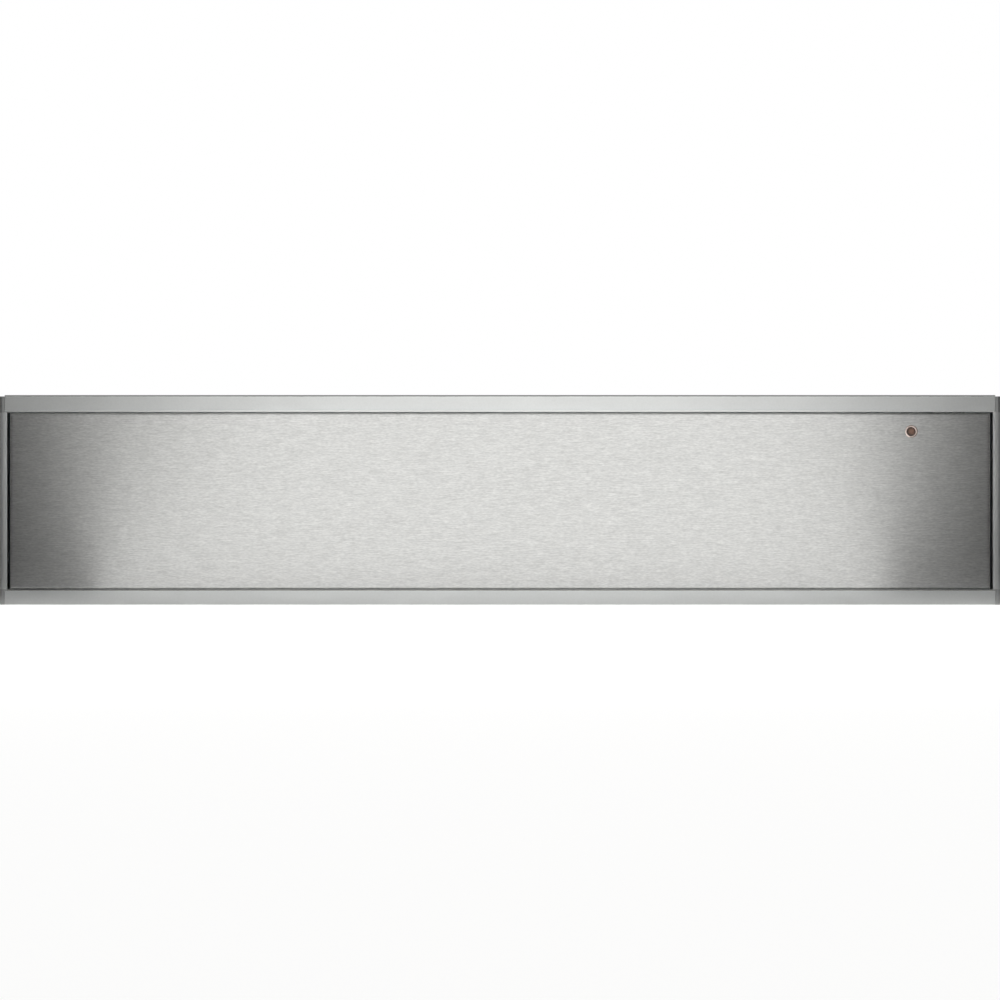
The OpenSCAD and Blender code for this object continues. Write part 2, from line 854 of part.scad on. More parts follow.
// Pan behind the baffle that closes the hot-air space round impeller and heater
module fan_duct() {
    y0 = y_baffle + sheet;
    y1 = duct_y + sheet;
    leg_a = heater_gap / 2;
    color("lightsteelblue") difference() {
        block(fan_x - duct_hw, fan_x + duct_hw, y0, y1, duct_z0, duct_z1);
        block(
            fan_x - duct_hw + sheet, fan_x + duct_hw - sheet, y0 - 1, duct_y,
            duct_z0 + sheet, duct_z1 - sheet
        );
        translate([fan_x, 0, fan_z]) {
            rod_y(8 + clear, duct_y - 1, y1 + 1);
            for (side = [-1, 1]) {
                rotate([0, 90 + side * leg_a, 0]) translate([heater_ring_r, 0, 0])
                    rod_y(heater_leg_r + hole_gap, duct_y - 1, y1 + 1);
                translate([side * (motor_r + 5), 0, 0]) rod_y(screw_hole_r, duct_y - 1, y1 + 1);
            }
        }
    }
}

module fan_motor() {
    shaft_len = 12;
    color("darkgray") translate([fan_x, 0, fan_z]) difference() {
        union() {
            rod_y(motor_r, y_motor, y_motor + motor_len);
            rod_y(8, duct_y - 2, y_motor + 1);
            // Ears for the two motor screws, and the terminal block
            block(-motor_r - 10, motor_r + 10, y_motor, y_motor + 2, -5, 5);
            block(motor_r - 10, motor_r + 6, y_motor + 8, y_motor + 20, 12, 24);
        }
        rod_y(fan_shaft_r + shaft_gap, duct_y - 3, y_motor + shaft_len);
        for (side = [-1, 1])
            translate([side * (motor_r + 5), 0, 0]) rod_y(screw_hole_r, y_motor - 1, y_motor + 3);
    }
}

// Impeller with its hub, back plate, blades and shaft
module fan_impeller() {
    blades = 12;
    color("silver") translate([fan_x, 0, fan_z]) union() {
        rod_y(impeller_r, y_impeller_back - back_plate_t, y_impeller_back);
        rod_y(hub_r, y_blades, y_impeller_back);
        rod_y(fan_shaft_r, y_impeller_back - 1, y_motor + shaft_in_motor);
        for (i = [0 : blades - 1])
            rotate([0, i * 360 / blades, 0])
                translate([hub_r - 1, y_blades, -blade_t / 2]) rotate([0, 20, 0])
                    cube([impeller_r - hub_r - 1, blade_depth - 1, blade_t]);
    }
}

// Open ring round the impeller, with two legs back through the duct
module ring_heater() {
    leg_a = heater_gap / 2;
    leg_back = duct_y + sheet + heater_tail;
    color("dimgray") translate([fan_x, 0, fan_z]) union() {
        translate([0, y_heater, 0]) rotate([90, 0, 0]) rotate([0, 0, -90 + leg_a - 5])
            rotate_extrude(angle = 370 - heater_gap, $fn = 96)
                translate([heater_ring_r, 0]) circle(r = heater_r);
        for (side = [-1, 1])
            rotate([0, 90 + side * leg_a, 0]) translate([heater_ring_r, 0, 0])
                rod_y(heater_leg_r, y_heater, leg_back);
    }
}

module temperature_sensor() {
    color("silver") translate([sensor_x, 0, sensor_z]) {
        rod_y(sensor_r, y_baffle - 8, y_baffle + 14);
        rod_y(sensor_r + 3, y_baffle + sheet, y_baffle + sheet + 3);
    }
}

module thermal_cutout() {
    color("dimgray") translate([fan_x + duct_hw - 22, 0, fan_z + 28]) {
        rod_y(cutout_r, y_motor, y_motor + cutout_t);
        for (side = [-1, 1])
            block(
                side * cutout_r / 2 - 1.5, side * cutout_r / 2 + 1.5,
                y_motor + cutout_t, y_motor + cutout_t + cutout_tab, -0.4, 0.4
            );
    }
}

// Open-topped plastic case for the electronics, standing on the base
module power_module_case() {
    w = module_wall;
    color("whitesmoke") difference() {
        block(module_left, module_right, module_y0, module_y1, z_base, module_z1);
        block(module_left + w, module_right - w, module_y0 + w, module_y1 - w, z_base + w, module_z1 + 1);
        // Slots for air
        for (i = [0 : 7])
            block(
                module_left - 1, module_right + 1,
                module_y0 + case_slot_y + case_slot_pitch * i,
                module_y0 + case_slot_y + case_slot_pitch * i + case_slot_w, vent_z0, vent_z1
            );
    }
}

module power_module_cover() {
    w = module_wall;
    color("whitesmoke") union() {
        block(module_left, module_right, module_y0, module_y1, module_z1, module_z1 + w);
        // Lip that locates the cover in the case
        difference() {
            block(
                module_left + w + clear, module_right - w - clear,
                module_y0 + w + clear, module_y1 - w - clear,
                module_z1 - 4, module_z1 + 1
            );
            block(
                module_left + 2 * w, module_right - 2 * w, module_y0 + 2 * w, module_y1 - 2 * w,
                module_z1 - 5, module_z1
            );
        }
    }
}

// Circuit board on four posts, with its transformer, relay and capacitors
module power_board() {
    gap = module_wall + board_edge;
    post = gap + board_post_r + 2;
    z0 = z_base + module_wall;
    zb = z0 + board_post_h;
    zt = zb + board_t;
    color("darkgreen") union() {
        block(module_left + gap, module_right - gap, module_y0 + gap, module_y1 - gap, zb, zt);
        for (x = [module_left + post, module_right - post], y = [module_y0 + post, module_y1 - post])
            translate([x, y, z0]) cylinder(r = board_post_r, h = board_post_h + 0.5);
        translate([module_left + transformer_x, module_y0 + transformer_y, zt - 0.5])
            cube([transformer_w, transformer_d, transformer_h + 0.5]);
        translate([module_left + relay_x, module_y0 + relay_y, zt - 0.5])
            cube([relay_w, relay_d, relay_h + 0.5]);
        for (i = [0 : 2])
            translate([
                module_left + capacitor_x + capacitor_pitch * i, module_y0 + capacitor_y, zt - 0.5
            ]) cylinder(r = capacitor_r, h = capacitor_h);
    }
}

// Three-blade appliance inlet, let into the rear panel
module mains_inlet() {
    color("dimgray") translate([inlet_x, 0, inlet_z]) difference() {
        union() {
            block(-13.3, 13.3, y_rear_panel - inlet_d, y_rear_panel + sheet, -9.8, 9.8);
            block(-25, 25, y_rear_panel + sheet, y_rear_panel + sheet + inlet_flange_t, -12, 12);
        }
        difference() {
            block(-11.5, 11.5, y_rear_panel - inlet_d + 6, y_rear, -8, 8);
            for (p = [[-7, -1.5], [0, 2.5], [7, -1.5]])
                block(p.x - 1, p.x + 1, y_rear_panel - inlet_d + 5, y_rear_panel - 3, p.y - 2, p.y + 2);
        }
        for (side = [-1, 1])
            translate([side * inlet_screw_x, 0, 0]) rod_y(screw_hole_r, y_rear_panel, y_rear);
    }
}

// Touch latch: housing with a flange on the baffle and a blind bore to the rear
module latch_housing() {
    y0 = y_baffle + sheet;
    y1 = y0 + housing_flange_t;
    color("dimgray") difference() {
        union() {
            block(-latch_flange_hw, latch_flange_hw, y0, y1, latch_z - 14, latch_z + 14);
            block(-12, 12, y1, y_housing_end, latch_z - 11, latch_z + 11);
        }
        translate([0, 0, latch_z]) {
            rod_y(latch_bore_r, y0 - 1, y_housing_end - latch_floor);
            // Room for the plunger's head
            rod_y(plunger_head_r + clear, y0 - 1, y_plunger_neck + push_travel + clear);
        }
    }
}

module latch_plunger() {
    color("white") translate([0, 0, latch_z]) union() {
        rod_y(plunger_head_r, y_strike + clear, y_plunger_neck);
        rod_y(plunger_r, y_plunger_neck - 1, y_plunger_neck + plunger_len);
    }
}

// Compression spring behind the plunger, as the sleeve that it fills
module latch_spring() {
    color("silver") translate([0, 0, latch_z]) difference() {
        rod_y(plunger_r - 0.4, y_plunger_neck + plunger_len, y_housing_end - latch_floor);
        rod_y(plunger_r - 1.6, y_plunger_neck + plunger_len - 1, y_housing_end);
    }
}

// Insulated wires inside the casing
module inner_leads() {
    lamp_y = y_bezel_back + 12;
    inlet_y = y_rear_panel - inlet_d;
    leg_x = heater_ring_r * sin(heater_gap / 2);
    leg_z = fan_z - heater_ring_r * cos(heater_gap / 2);
    leg_y = duct_y + sheet + 6;
    motor_z = fan_z + 18;
    color("white") lead([
        [lamp_x, y_bezel_back + 8, lamp_z],
        [lamp_x, lamp_y, lamp_z],
        [lamp_x, lamp_y, knob_z + 6],
        [knob_x - selector_w / 2, lamp_y, knob_z + 6]
    ], 2, 0.9);
    color("saddlebrown") lead([
        [inlet_x - 6, inlet_y, inlet_z],
        [inlet_x - 6, inlet_y - 10, inlet_z],
        [module_right, inlet_y - 10, inlet_z]
    ], 5, 2);
    color("firebrick") lead([
        [module_left, module_y0 + 20, motor_z],
        [module_left - 40, module_y0 + 20, motor_z],
        [module_left - 40, y_motor + 14, motor_z],
        [fan_x + motor_r + 6, y_motor + 14, motor_z]
    ], 6, 1.5);
    // From the heater's two legs to the electronics
    color("white") for (side = [-1, 1]) lead([
        [fan_x + side * leg_x, leg_y, leg_z],
        [fan_x + side * leg_x, leg_y + 11 - 4 * side, leg_z],
        [module_left, leg_y + 11 - 4 * side, leg_z]
    ], 5, 1.5);
    color("white") lead([
        [sensor_x, y_baffle + 14, sensor_z],
        [sensor_x, y_baffle + 24, sensor_z],
        [module_left, y_baffle + 24, sensor_z]
    ], 5, 1);
}

// ---- Drawer front ----

// Points of a bend about [cx, cy], from angle a to angle b
function bend(cx, cy, a, b) = [
    for (i = [0 : bend_steps])
        let (q = a + (b - a) * i / bend_steps) [cx + front_bend_r * cos(q), cy + front_bend_r * sin(q)]
];

// Folded pan: front skin with four edges bent back
module front_panel_skin() {
    r = front_bend_r;
    t = front_sheet;
    y_pan = y_back - front_sheet;
    hole_r = lamp_r + hole_gap / 2;
    color("gainsboro") difference() {
        intersection() {
            linear_extrude(frame_h) polygon(concat(
                bend(r - panel_hw, y_panel + r, 180, 270),
                bend(panel_hw - r, y_panel + r, 270, 360),
                [[panel_hw, y_pan], [-panel_hw, y_pan]]
            ));
            along_x(-panel_hw - 1, panel_hw + 1) polygon(concat(
                bend(y_panel + r, panel_z0 + r, 180, 270),
                [[y_pan, panel_z0], [y_pan, panel_z1]],
                bend(y_panel + r, panel_z1 - r, 90, 180)
            ));
        }
        block(-panel_hw + t, panel_hw - t, y_panel + t, y_pan + 1, panel_z0 + t, panel_z1 - t);
        translate([lamp_x, 0, lamp_z]) rod_y(hole_r, y_panel - 1, y_pan + 1);
    }
}

module front_screw_holes() {
    both_sides() for (z = front_screw_z)
        translate([front_screw_x, 0, z])
            rod_y(front_screw_r + hole_gap, y_back - front_sheet - front_screw_len, y_tray_front + 1);
}

module front_backing_panel() {
    color("silver") difference() {
        block(-panel_hw, panel_hw, y_back - front_sheet, y_back, panel_z0, panel_z1);
        translate([lamp_x, 0, lamp_z]) rod_y(lamp_r + hole_gap / 2, y_panel, y_back + 1);
        front_screw_holes();
    }
}

// Stiff core that fills the pan
module front_core() {
    t = front_sheet;
    color("tan") difference() {
        block(-panel_hw + t, panel_hw - t, y_panel + t, y_back - t, panel_z0 + t, panel_z1 - t);
        translate([lamp_x, 0, lamp_z]) rod_y(lamp_r + hole_gap / 2, y_panel, y_back + 1);
        front_screw_holes();
    }
}

// Rod that carries the lamp's light through the drawer front
module light_guide() {
    color("saddlebrown") translate([lamp_x, 0, lamp_z]) rod_y(lamp_r, y_panel - 0.3, y_back);
}

// ---- Drawer box ----

module drawer_floor() {
    color("gainsboro") block(-tray_in, tray_in, y_tray_front, y_tray_back, tray_z, tray_floor_top);
}

// Right side with a rim folded inwards and down
module drawer_side() {
    t = tray_sheet;
    difference() {
        union() {
            block(tray_in, drawer_hw, y_tray_front, y_tray_back, tray_z, tray_top);
            block(drawer_hw - rim_w, tray_in, y_tray_front, y_tray_back, tray_top - t, tray_top);
            block(
                drawer_hw - rim_w, drawer_hw - rim_w + t, y_tray_front, y_tray_back,
                tray_top - rim_drop, tray_top - t
            );
        }
        for (y = rivet_y)
            translate([0, y, rail_z]) rod_x(screw_hole_r, tray_in - 1, drawer_hw + 1);
    }
}

module drawer_right_side() {
    color("gainsboro") drawer_side();
}

module drawer_left_side() {
    color("gainsboro") mirror([1, 0, 0]) drawer_side();
}

module drawer_rear_wall() {
    color("gainsboro") difference() {
        block(-drawer_hw, drawer_hw, y_tray_back, y_tray_rear, tray_z, tray_top);
        // Slots that let the hot air in
        slots(-206, 10, 17, y_tray_back - 1, y_tray_rear + 1, latch_z - 12, latch_z + 20, 4);
        slots(42, 10, 17, y_tray_back - 1, y_tray_rear + 1, latch_z - 12, latch_z + 20, 4);
        for (side = [-1, 1])
            translate([side * 8, 0, latch_z]) rod_y(screw_hole_r, y_tray_back - 1, y_tray_rear + 1);
    }
}

module drawer_inner_front() {
    color("gainsboro") difference() {
        block(-drawer_hw, drawer_hw, y_back, y_tray_front, tray_z, tray_top);
        front_screw_holes();
    }
}

// Toughened glass with small corner chamfers
module glass_base_plate() {
    hw = tray_in - glass_gap;
    y0 = y_tray_front + glass_gap;
    y1 = y_tray_back - glass_gap;
    c = 3;
    color("darkslategray") translate([0, 0, glass_z]) linear_extrude(glass_t) polygon([
        [-hw + c, y0], [hw - c, y0], [hw, y0 + c], [hw, y1 - c],
        [hw - c, y1], [-hw + c, y1], [-hw, y1 - c], [-hw, y0 + c]
    ]);
}

module glass_rest_strips() {
    strip_w = 10;
    strips = 4;
    pitch = 2 * (tray_in - 30) / (strips - 1);
    color("dimgray") for (i = [0 : strips - 1])
        translate([-tray_in + 30 + i * pitch - strip_w / 2, y_tray_front + 20, tray_floor_top])
            cube([strip_w, y_tray_back - y_tray_front - 40, rest_h]);
}

// Plate on the drawer's rear that meets the latch's plunger
module latch_strike() {
    color("silver") difference() {
        block(-12, 12, y_tray_rear, y_strike, latch_z - 12, latch_z + 12);
        for (side = [-1, 1])
            translate([side * 8, 0, latch_z]) rod_y(screw_hole_r, y_tray_rear - 1, y_strike + 1);
    }
}

// ---- Fasteners ----

module casing_screws() {
    color("silver") {
        // Trim strips, from behind the flange
        for (x = trim_screw_x, z = [trim_screw_low, trim_screw_high])
            translate([x, 0, z]) screw_y(y_body, flange_t + 8);
        // Rear panel
        both_sides() for (z = rear_screw_z)
            translate([rear_screw_x, 0, z]) screw_y(y_rear_panel + sheet, 2 * sheet + 2);
        // Rail brackets, from outside the walls
        both_sides() for (y = bracket_screw_y) translate([0, y, bracket_screw_z]) {
            rod_x(head_r, casing_hw, casing_hw + head_t);
            rod_x(screw_r, wall_in - bracket_t - 1, casing_hw);
        }
        // Mains inlet
        for (side = [-1, 1])
            translate([inlet_x + side * inlet_screw_x, 0, inlet_z])
                screw_y(y_rear_panel + sheet + inlet_flange_t, sheet + 5);
        // Fan motor
        for (side = [-1, 1])
            translate([fan_x + side * (motor_r + 5), 0, fan_z]) screw_y(y_motor + 2, sheet + 4);
    }
}

module drawer_screws() {
    color("silver") {
        // Drawer front, from inside the drawer
        both_sides() for (z = front_screw_z)
            translate([front_screw_x, 0, z])
                screw_y(y_tray_front, tray_sheet + front_sheet + 6, front_screw_r, front_head_r);
        // Runners
        both_sides() for (y = rivet_y) translate([0, y, rail_z]) {
            rod_x(head_r, drawer_hw + rail_sheet, drawer_hw + rail_sheet + 1);
            rod_x(screw_r, tray_in - 0.5, drawer_hw + rail_sheet);
        }
        // Latch strike, riveted from inside
        for (side = [-1, 1]) translate([side * 8, 0, latch_z]) {
            rod_y(head_r, y_tray_back - 1, y_tray_back);
            rod_y(screw_r, y_tray_back, y_strike);
        }
    }
}

casing_base();
casing_left_wall();
casing_right_wall();
casing_top_cover();
casing_rear_panel();
front_flange();
frame_top_trim();
frame_bottom_trim();
frame_left_trim();
frame_right_trim();
foot_pads();
stop_buffers();
runner_bracket_left();
runner_bracket_right();
outer_rail_left();
outer_rail_right();
air_baffle();
fan_duct();
fan_motor();
ring_heater();
temperature_sensor();
thermal_cutout();
power_module_case();
power_module_cover();
power_board();
mains_inlet();
latch_housing();
latch_spring();
control_bezel();
rotary_selector();
indicator_lamp();
control_lead();
inner_leads();
cable_clips();
casing_screws();
front_panel_skin();
front_backing_panel();
front_core();
light_guide();
drawer_floor();
drawer_left_side();
drawer_right_side();
drawer_rear_wall();
drawer_inner_front();
glass_base_plate();
glass_rest_strips();
inner_rail_left();
inner_rail_right();
latch_strike();
drawer_screws();
mid_rail_left();
mid_rail_right();
outer_cage_left();
outer_cage_right();
inner_cage_left();
inner_cage_right();
temperature_knob();
selector_shaft();
fan_impeller();
latch_plunger();
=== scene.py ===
# %% [markdown]
# # A push-to-open warming drawer in brushed steel
# The real object is a flat steel box that slides into a kitchen housing. Only its front shows
# there: a brushed drawer front, level with a slim aluminium frame, and one small lamp. This
# lesson dresses the finished construction: it gives every part the finish that the real one has,
# adds the small pieces that a maker prints, presses or clips on last, and lights it as a
# catalogue photographer would.

# %% Load the construction
import json
import math

import bmesh
import bpy
from mathutils import Matrix, Vector


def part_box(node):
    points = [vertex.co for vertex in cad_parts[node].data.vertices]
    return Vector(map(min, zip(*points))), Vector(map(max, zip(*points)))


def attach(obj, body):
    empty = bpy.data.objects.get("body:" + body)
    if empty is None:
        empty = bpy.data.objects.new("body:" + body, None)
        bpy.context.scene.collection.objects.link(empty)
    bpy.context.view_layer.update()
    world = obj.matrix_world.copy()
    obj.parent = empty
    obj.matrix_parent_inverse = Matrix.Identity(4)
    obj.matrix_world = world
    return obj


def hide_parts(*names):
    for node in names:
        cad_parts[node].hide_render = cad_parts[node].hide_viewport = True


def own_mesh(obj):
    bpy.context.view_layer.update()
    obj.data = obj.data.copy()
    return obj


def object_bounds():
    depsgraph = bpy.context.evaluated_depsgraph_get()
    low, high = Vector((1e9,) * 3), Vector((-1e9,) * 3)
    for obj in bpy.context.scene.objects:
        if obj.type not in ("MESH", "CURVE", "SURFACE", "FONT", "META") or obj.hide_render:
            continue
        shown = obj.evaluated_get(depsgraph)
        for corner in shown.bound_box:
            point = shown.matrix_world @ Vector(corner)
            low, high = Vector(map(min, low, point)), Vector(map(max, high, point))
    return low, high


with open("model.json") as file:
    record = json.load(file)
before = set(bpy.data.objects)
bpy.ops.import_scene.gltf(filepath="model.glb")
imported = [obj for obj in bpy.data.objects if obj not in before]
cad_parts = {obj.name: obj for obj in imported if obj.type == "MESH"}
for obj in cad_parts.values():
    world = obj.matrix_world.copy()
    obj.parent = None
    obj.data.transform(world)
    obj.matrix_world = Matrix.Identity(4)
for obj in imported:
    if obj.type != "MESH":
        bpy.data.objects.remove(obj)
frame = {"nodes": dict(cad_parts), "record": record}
parts = frame["nodes"]
cad_low, cad_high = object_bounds()
print("construction", [round(v, 4) for v in cad_high - cad_low], "m,", len(parts), "parts")

# %% [markdown]
# ## The camera
# The photograph looks straight at the front, and no side shows, so it was taken from far away
# with a long lens. A perspective camera with a 400 mm lens does the same. Its distance follows
# from how many of the picture's 1000 pixels the frame's width takes: a few more than there are,
# because the two outer edges are just cropped.

# %% Camera
MM = 0.001
PICTURE = 1000
FRAME_PIXELS = 1005.5
LENS = 400
SIGHT = 50

front_y = cad_low.y
middle_z = (cad_low.z + cad_high.z) / 2
seen_width = (cad_high.x - cad_low.x) * PICTURE / FRAME_PIXELS

camera = bpy.data.cameras.new("long_lens")
camera.lens = LENS
camera.clip_end = SIGHT
distance = seen_width * LENS / camera.sensor_width
camera_object = bpy.data.objects.new("camera", camera)
camera_object.location = (0, front_y - distance, middle_z)
camera_object.rotation_euler = (math.radians(90), 0, 0)
bpy.context.scene.collection.objects.link(camera_object)
bpy.context.scene.camera = camera_object
bpy.context.scene.view_settings.view_transform = "Standard"
print("camera", round(distance, 2), "m in front of the drawer")

# %% [markdown]
# ## Helpers for all finishes
# A finish is a small graph of nodes. One function adds a node, sets it and wires it up, and a few
# short ones name the nodes that come up most, so that each finish below reads like a recipe.
# Colours are written as they are picked, in sRGB hex, and turned to the linear values that the
# renderer works in.

# %% Helpers for materials
def linear(hex_colour):
    channels = [int(hex_colour[i : i + 2], 16) / 255 for i in (1, 3, 5)]
    return [c / 12.92 if c <= 0.04045 else ((c + 0.055) / 1.055) ** 2.4 for c in channels] + [1]


def add(tree, kind, inputs=None, **settings):
    made = tree.nodes.new(kind)
    for name, value in settings.items():
        setattr(made, name, value)
    for name, value in (inputs or {}).items():
        if isinstance(value, bpy.types.NodeSocket):
            tree.links.new(value, made.inputs[name])
        else:
            made.inputs[name].default_value = value
    return made


def maths(tree, operation, *values):
    return add(tree, "ShaderNodeMath", dict(enumerate(values)), operation=operation).outputs[0]


def vectors(tree, operation, *values):
    made = add(tree, "ShaderNodeVectorMath", dict(enumerate(values)), operation=operation)
    return made.outputs["Value" if operation == "LENGTH" else "Vector"]


def remap(tree, value, before=(0.0, 1.0), after=(0.0, 1.0)):
    ends = {"From Min": before[0], "From Max": before[1], "To Min": after[0], "To Max": after[1]}
    return add(tree, "ShaderNodeMapRange", {"Value": value, **ends}).outputs["Result"]


def coordinate(tree, kind="Object"):
    return add(tree, "ShaderNodeTexCoord").outputs[kind]


def split(tree, vector):
    return add(tree, "ShaderNodeSeparateXYZ", {"Vector": vector}).outputs


def new_finish(name, hex_colour, **sockets):
    material = bpy.data.materials.new(name)
    material.use_nodes = True
    tree = material.node_tree
    shader = tree.nodes["Principled BSDF"]
    shader.inputs["Base Color"].default_value = linear(hex_colour)
    for socket, value in sockets.items():
        shader.inputs[socket.replace("_", " ")].default_value = value
    material.diffuse_color = linear(hex_colour)
    return material, tree, shader


print("middle grey is", round(linear("#808080")[0], 3), "in linear light")

# %% [markdown]
# ## A pattern that has a real size
# Brush lines, spangles and moulding grain all have a size in millimetres. Object coordinates are
# in metres, so a Mapping node that multiplies them by 1000 / size makes one unit of the texture
# as long as one feature. Giving the three axes different sizes stretches the pattern, which is
# all that a brushed grain is. Nearly all values of a noise lie between 0.3 and 0.7, so that range
# is spread over the strengths that a finish asks for.

# %% Coordinates in real sizes
NOISE_RANGE = (0.3, 0.7)


def pattern_space(tree, size_x, size_y, size_z):
    scale = (1 / (size_x * MM), 1 / (size_y * MM), 1 / (size_z * MM))
    inputs = {"Vector": coordinate(tree), "Scale": scale}
    return add(tree, "ShaderNodeMapping", inputs).outputs["Vector"]


def grain(tree, sizes, detail=2.0):
    space = pattern_space(tree, *sizes)
    inputs = {"Vector": space, "Scale": 1.0, "Detail": detail, "Roughness": 0.5}
    return add(tree, "ShaderNodeTexNoise", inputs).outputs["Fac"]


def spread(tree, factor, low, high):
    return remap(tree, factor, NOISE_RANGE, (low, high))


def shade(tree, shader, factors, hex_colour):
    strength = factors[0]
    for other in factors[1:]:
        strength = maths(tree, "MULTIPLY", strength, other)
    inputs = {0: linear(hex_colour)[:3], "Scale": strength}
    colour = add(tree, "ShaderNodeVectorMath", inputs, operation="SCALE")
    tree.links.new(colour.outputs["Vector"], shader.inputs["Base Color"])


def bump(tree, shader, height, depth_mm):
    inputs = {"Height": height, "Distance": depth_mm * MM, "Strength": 1.0}
    made = add(tree, "ShaderNodeBump", inputs)
    tree.links.new(made.outputs["Normal"], shader.inputs["Normal"])


print("one texture unit is one feature long")

# %% [markdown]
# ## Brushed stainless steel, the drawer front
# The sheet is type 304 steel, drawn under an abrasive belt from left to right. The belt leaves
# fine parallel scratches. Across them the surface is rough, along them it is nearly polished, so
# a reflection smears up and down but keeps its edges left and right. That is anisotropy: the
# shader is rougher along its tangent, so the tangent lies across the brush lines. A cross product
# of each face's normal with the direction of brushing gives it, round the bends as well. The
# direction leans a little backwards, so that the product isn't zero on the ends of the front.
# The real lines are about 0.1 mm apart. They are drawn 0.6 mm apart here, the finest that one
# pixel of the picture can show, and 2 to 10 mm long as the picture shows them.

# %% Finish: brushed steel
BRUSHED_COLOUR = "#D9D9D7"
BRUSHING = (1.0, 0.3, 0.0)
LINE_APART = 0.6
LONG_LINE, SHORT_LINE = 7, 2.2
CLOUD = (12, 12, 4)
brushed_steel, tree, shader = new_finish(
    "stainless_304_belt_brushed", BRUSHED_COLOUR, Metallic=1.0, Roughness=0.54, Anisotropic=0.72
)
long_lines = spread(tree, grain(tree, (LONG_LINE, LONG_LINE, LINE_APART)), 0.915, 1.075)
short_lines = spread(tree, grain(tree, (SHORT_LINE, SHORT_LINE, LINE_APART)), 0.90, 1.09)
cloudiness = spread(tree, grain(tree, CLOUD), 0.97, 1.03)
shade(tree, shader, [long_lines, short_lines, cloudiness], BRUSHED_COLOUR)
across = vectors(tree, "CROSS_PRODUCT", coordinate(tree, "Normal"), BRUSHING)
tree.links.new(vectors(tree, "NORMALIZE", across), shader.inputs["Tangent"])
print("brush lines", LINE_APART, "mm apart, 2 to 10 mm long")

# %% [markdown]
# ## Satin anodised aluminium, the frame
# The four trims are extruded aluminium, bead-blasted and then anodised, which leaves an even
# silvery satin with no direction. It scatters more than the brushed front, so the light fades
# along it more slowly. The blasting leaves a skin finer than a pixel, so only a faint unevenness
# of roughness is drawn. The upper chamfer is cut bright after the blasting: it is smoother, and
# so it mirrors the dimmer ceiling as the thin darker line that the photograph shows there. The
# outer band of each side trim, beside its raised lip, is smoother too and mirrors the flags. Above
# and below the lip the trim is milled away for the strips, and those short ends are smoother as
# well. Their colour is darkened there too, as painted shade for the shadow in the seam beside the
# strips.

# %% Finish: anodised aluminium
ANODISED_COLOUR = "#E8E9E8"
SATIN, BRIGHT_CUT, SMOOTH_BAND = 0.82, 0.18, 0.55
UNEVEN = 0.03
BAND_X, STRIP_END_X = 294.0 * MM, 292.7 * MM
LIP_MIDDLE_Z, LIP_HALF = 61.5 * MM, 52.3 * MM
BORDER = 0.1 * MM
PAINTED_SEAM_SHADE = 0.72
anodised, tree, shader = new_finish(
    "aluminium_satin_anodised", ANODISED_COLOUR, Metallic=1.0, Roughness=SATIN
)


def beyond(value, middle, limit):
    away = maths(tree, "ABSOLUTE", maths(tree, "SUBTRACT", value, middle))
    return remap(tree, away, (limit - BORDER, limit + BORDER))


# The chamfer is the only face that tilts up without lying flat
facing_up = split(tree, coordinate(tree, "Normal"))["Z"]
tilted = remap(tree, facing_up, (0.5, 0.6))
not_flat = remap(tree, facing_up, (0.85, 0.95), (1.0, 0.0))
chamfer = maths(tree, "MULTIPLY", tilted, not_flat)
blasted = spread(tree, grain(tree, (1.2, 1.2, 1.2)), SATIN - UNEVEN, SATIN + UNEVEN)
roughness = remap(tree, chamfer, after=(blasted, BRIGHT_CUT))

place = split(tree, coordinate(tree))
past_strip = beyond(place["X"], 0.0, STRIP_END_X)
past_lip = beyond(place["Z"], LIP_MIDDLE_Z, LIP_HALF)
ends = maths(tree, "MULTIPLY", past_strip, past_lip)
plain = maths(tree, "MAXIMUM", beyond(place["X"], 0.0, BAND_X), ends)
tree.links.new(remap(tree, plain, after=(roughness, SMOOTH_BAND)), shader.inputs["Roughness"])
clouds = spread(tree, grain(tree, (40, 12, 12)), 0.985, 1.015)
# The short ends' colour is darkened as painted shade for the shadow in the seam beside the strips
shade(tree, shader, [clouds, remap(tree, ends, after=(1.0, PAINTED_SEAM_SHADE))], ANODISED_COLOUR)
print("satin aluminium", len(tree.nodes), "nodes")

# %% [markdown]
# ## Sheet metal that isn't meant to be seen
# The casing is hot-dip galvanised sheet. Its zinc freezes in flat crystals of a few millimetres,
# the spangle, each with its own faint tone and gloss: that is what a Voronoi texture draws. The
# drawer box is stainless again, but with the plain mill finish of a rolled sheet, with a trace of
# its rolling direction. The runners are bright zinc-plated steel with a cool tint. The sizes are
# those of one crystal, and of one rolling line along x, y and z, in millimetres.

# %% Finishes: galvanised, mill-finished and plated steel
FROST_SHARE = 5


def spangled(name, hex_colour, crystal_mm, roughness):
    material, tree, shader = new_finish(name, hex_colour, Metallic=1.0, Roughness=roughness)
    space = pattern_space(tree, crystal_mm, crystal_mm, crystal_mm)
    inputs = {"Vector": space, "Scale": 1.0, "Randomness": 1.0}
    crystal = add(tree, "ShaderNodeTexVoronoi", inputs)
    tone = add(tree, "ShaderNodeSeparateColor", {"Color": crystal.outputs["Color"]}).outputs
    frost_mm = crystal_mm / FROST_SHARE
    frost = grain(tree, (frost_mm, frost_mm, frost_mm), 3.0)
    gloss = spread(tree, tone["Red"], roughness - 0.03, roughness + 0.05)
    tree.links.new(gloss, shader.inputs["Roughness"])
    tones = [spread(tree, tone["Green"], 0.98, 1.01), spread(tree, frost, 0.96, 1.03)]
    shade(tree, shader, tones, hex_colour)
    return material


def rolled(name, hex_colour, roughness, sizes, contrast=0.03):
    material, tree, shader = new_finish(name, hex_colour, Metallic=1.0, Roughness=roughness)
    lines = grain(tree, sizes, 3.0)
    gloss = spread(tree, lines, roughness - 0.04, roughness + 0.05)
    tree.links.new(gloss, shader.inputs["Roughness"])
    shade(tree, shader, [spread(tree, lines, 1 - contrast, 1 + contrast)], hex_colour)
    return material


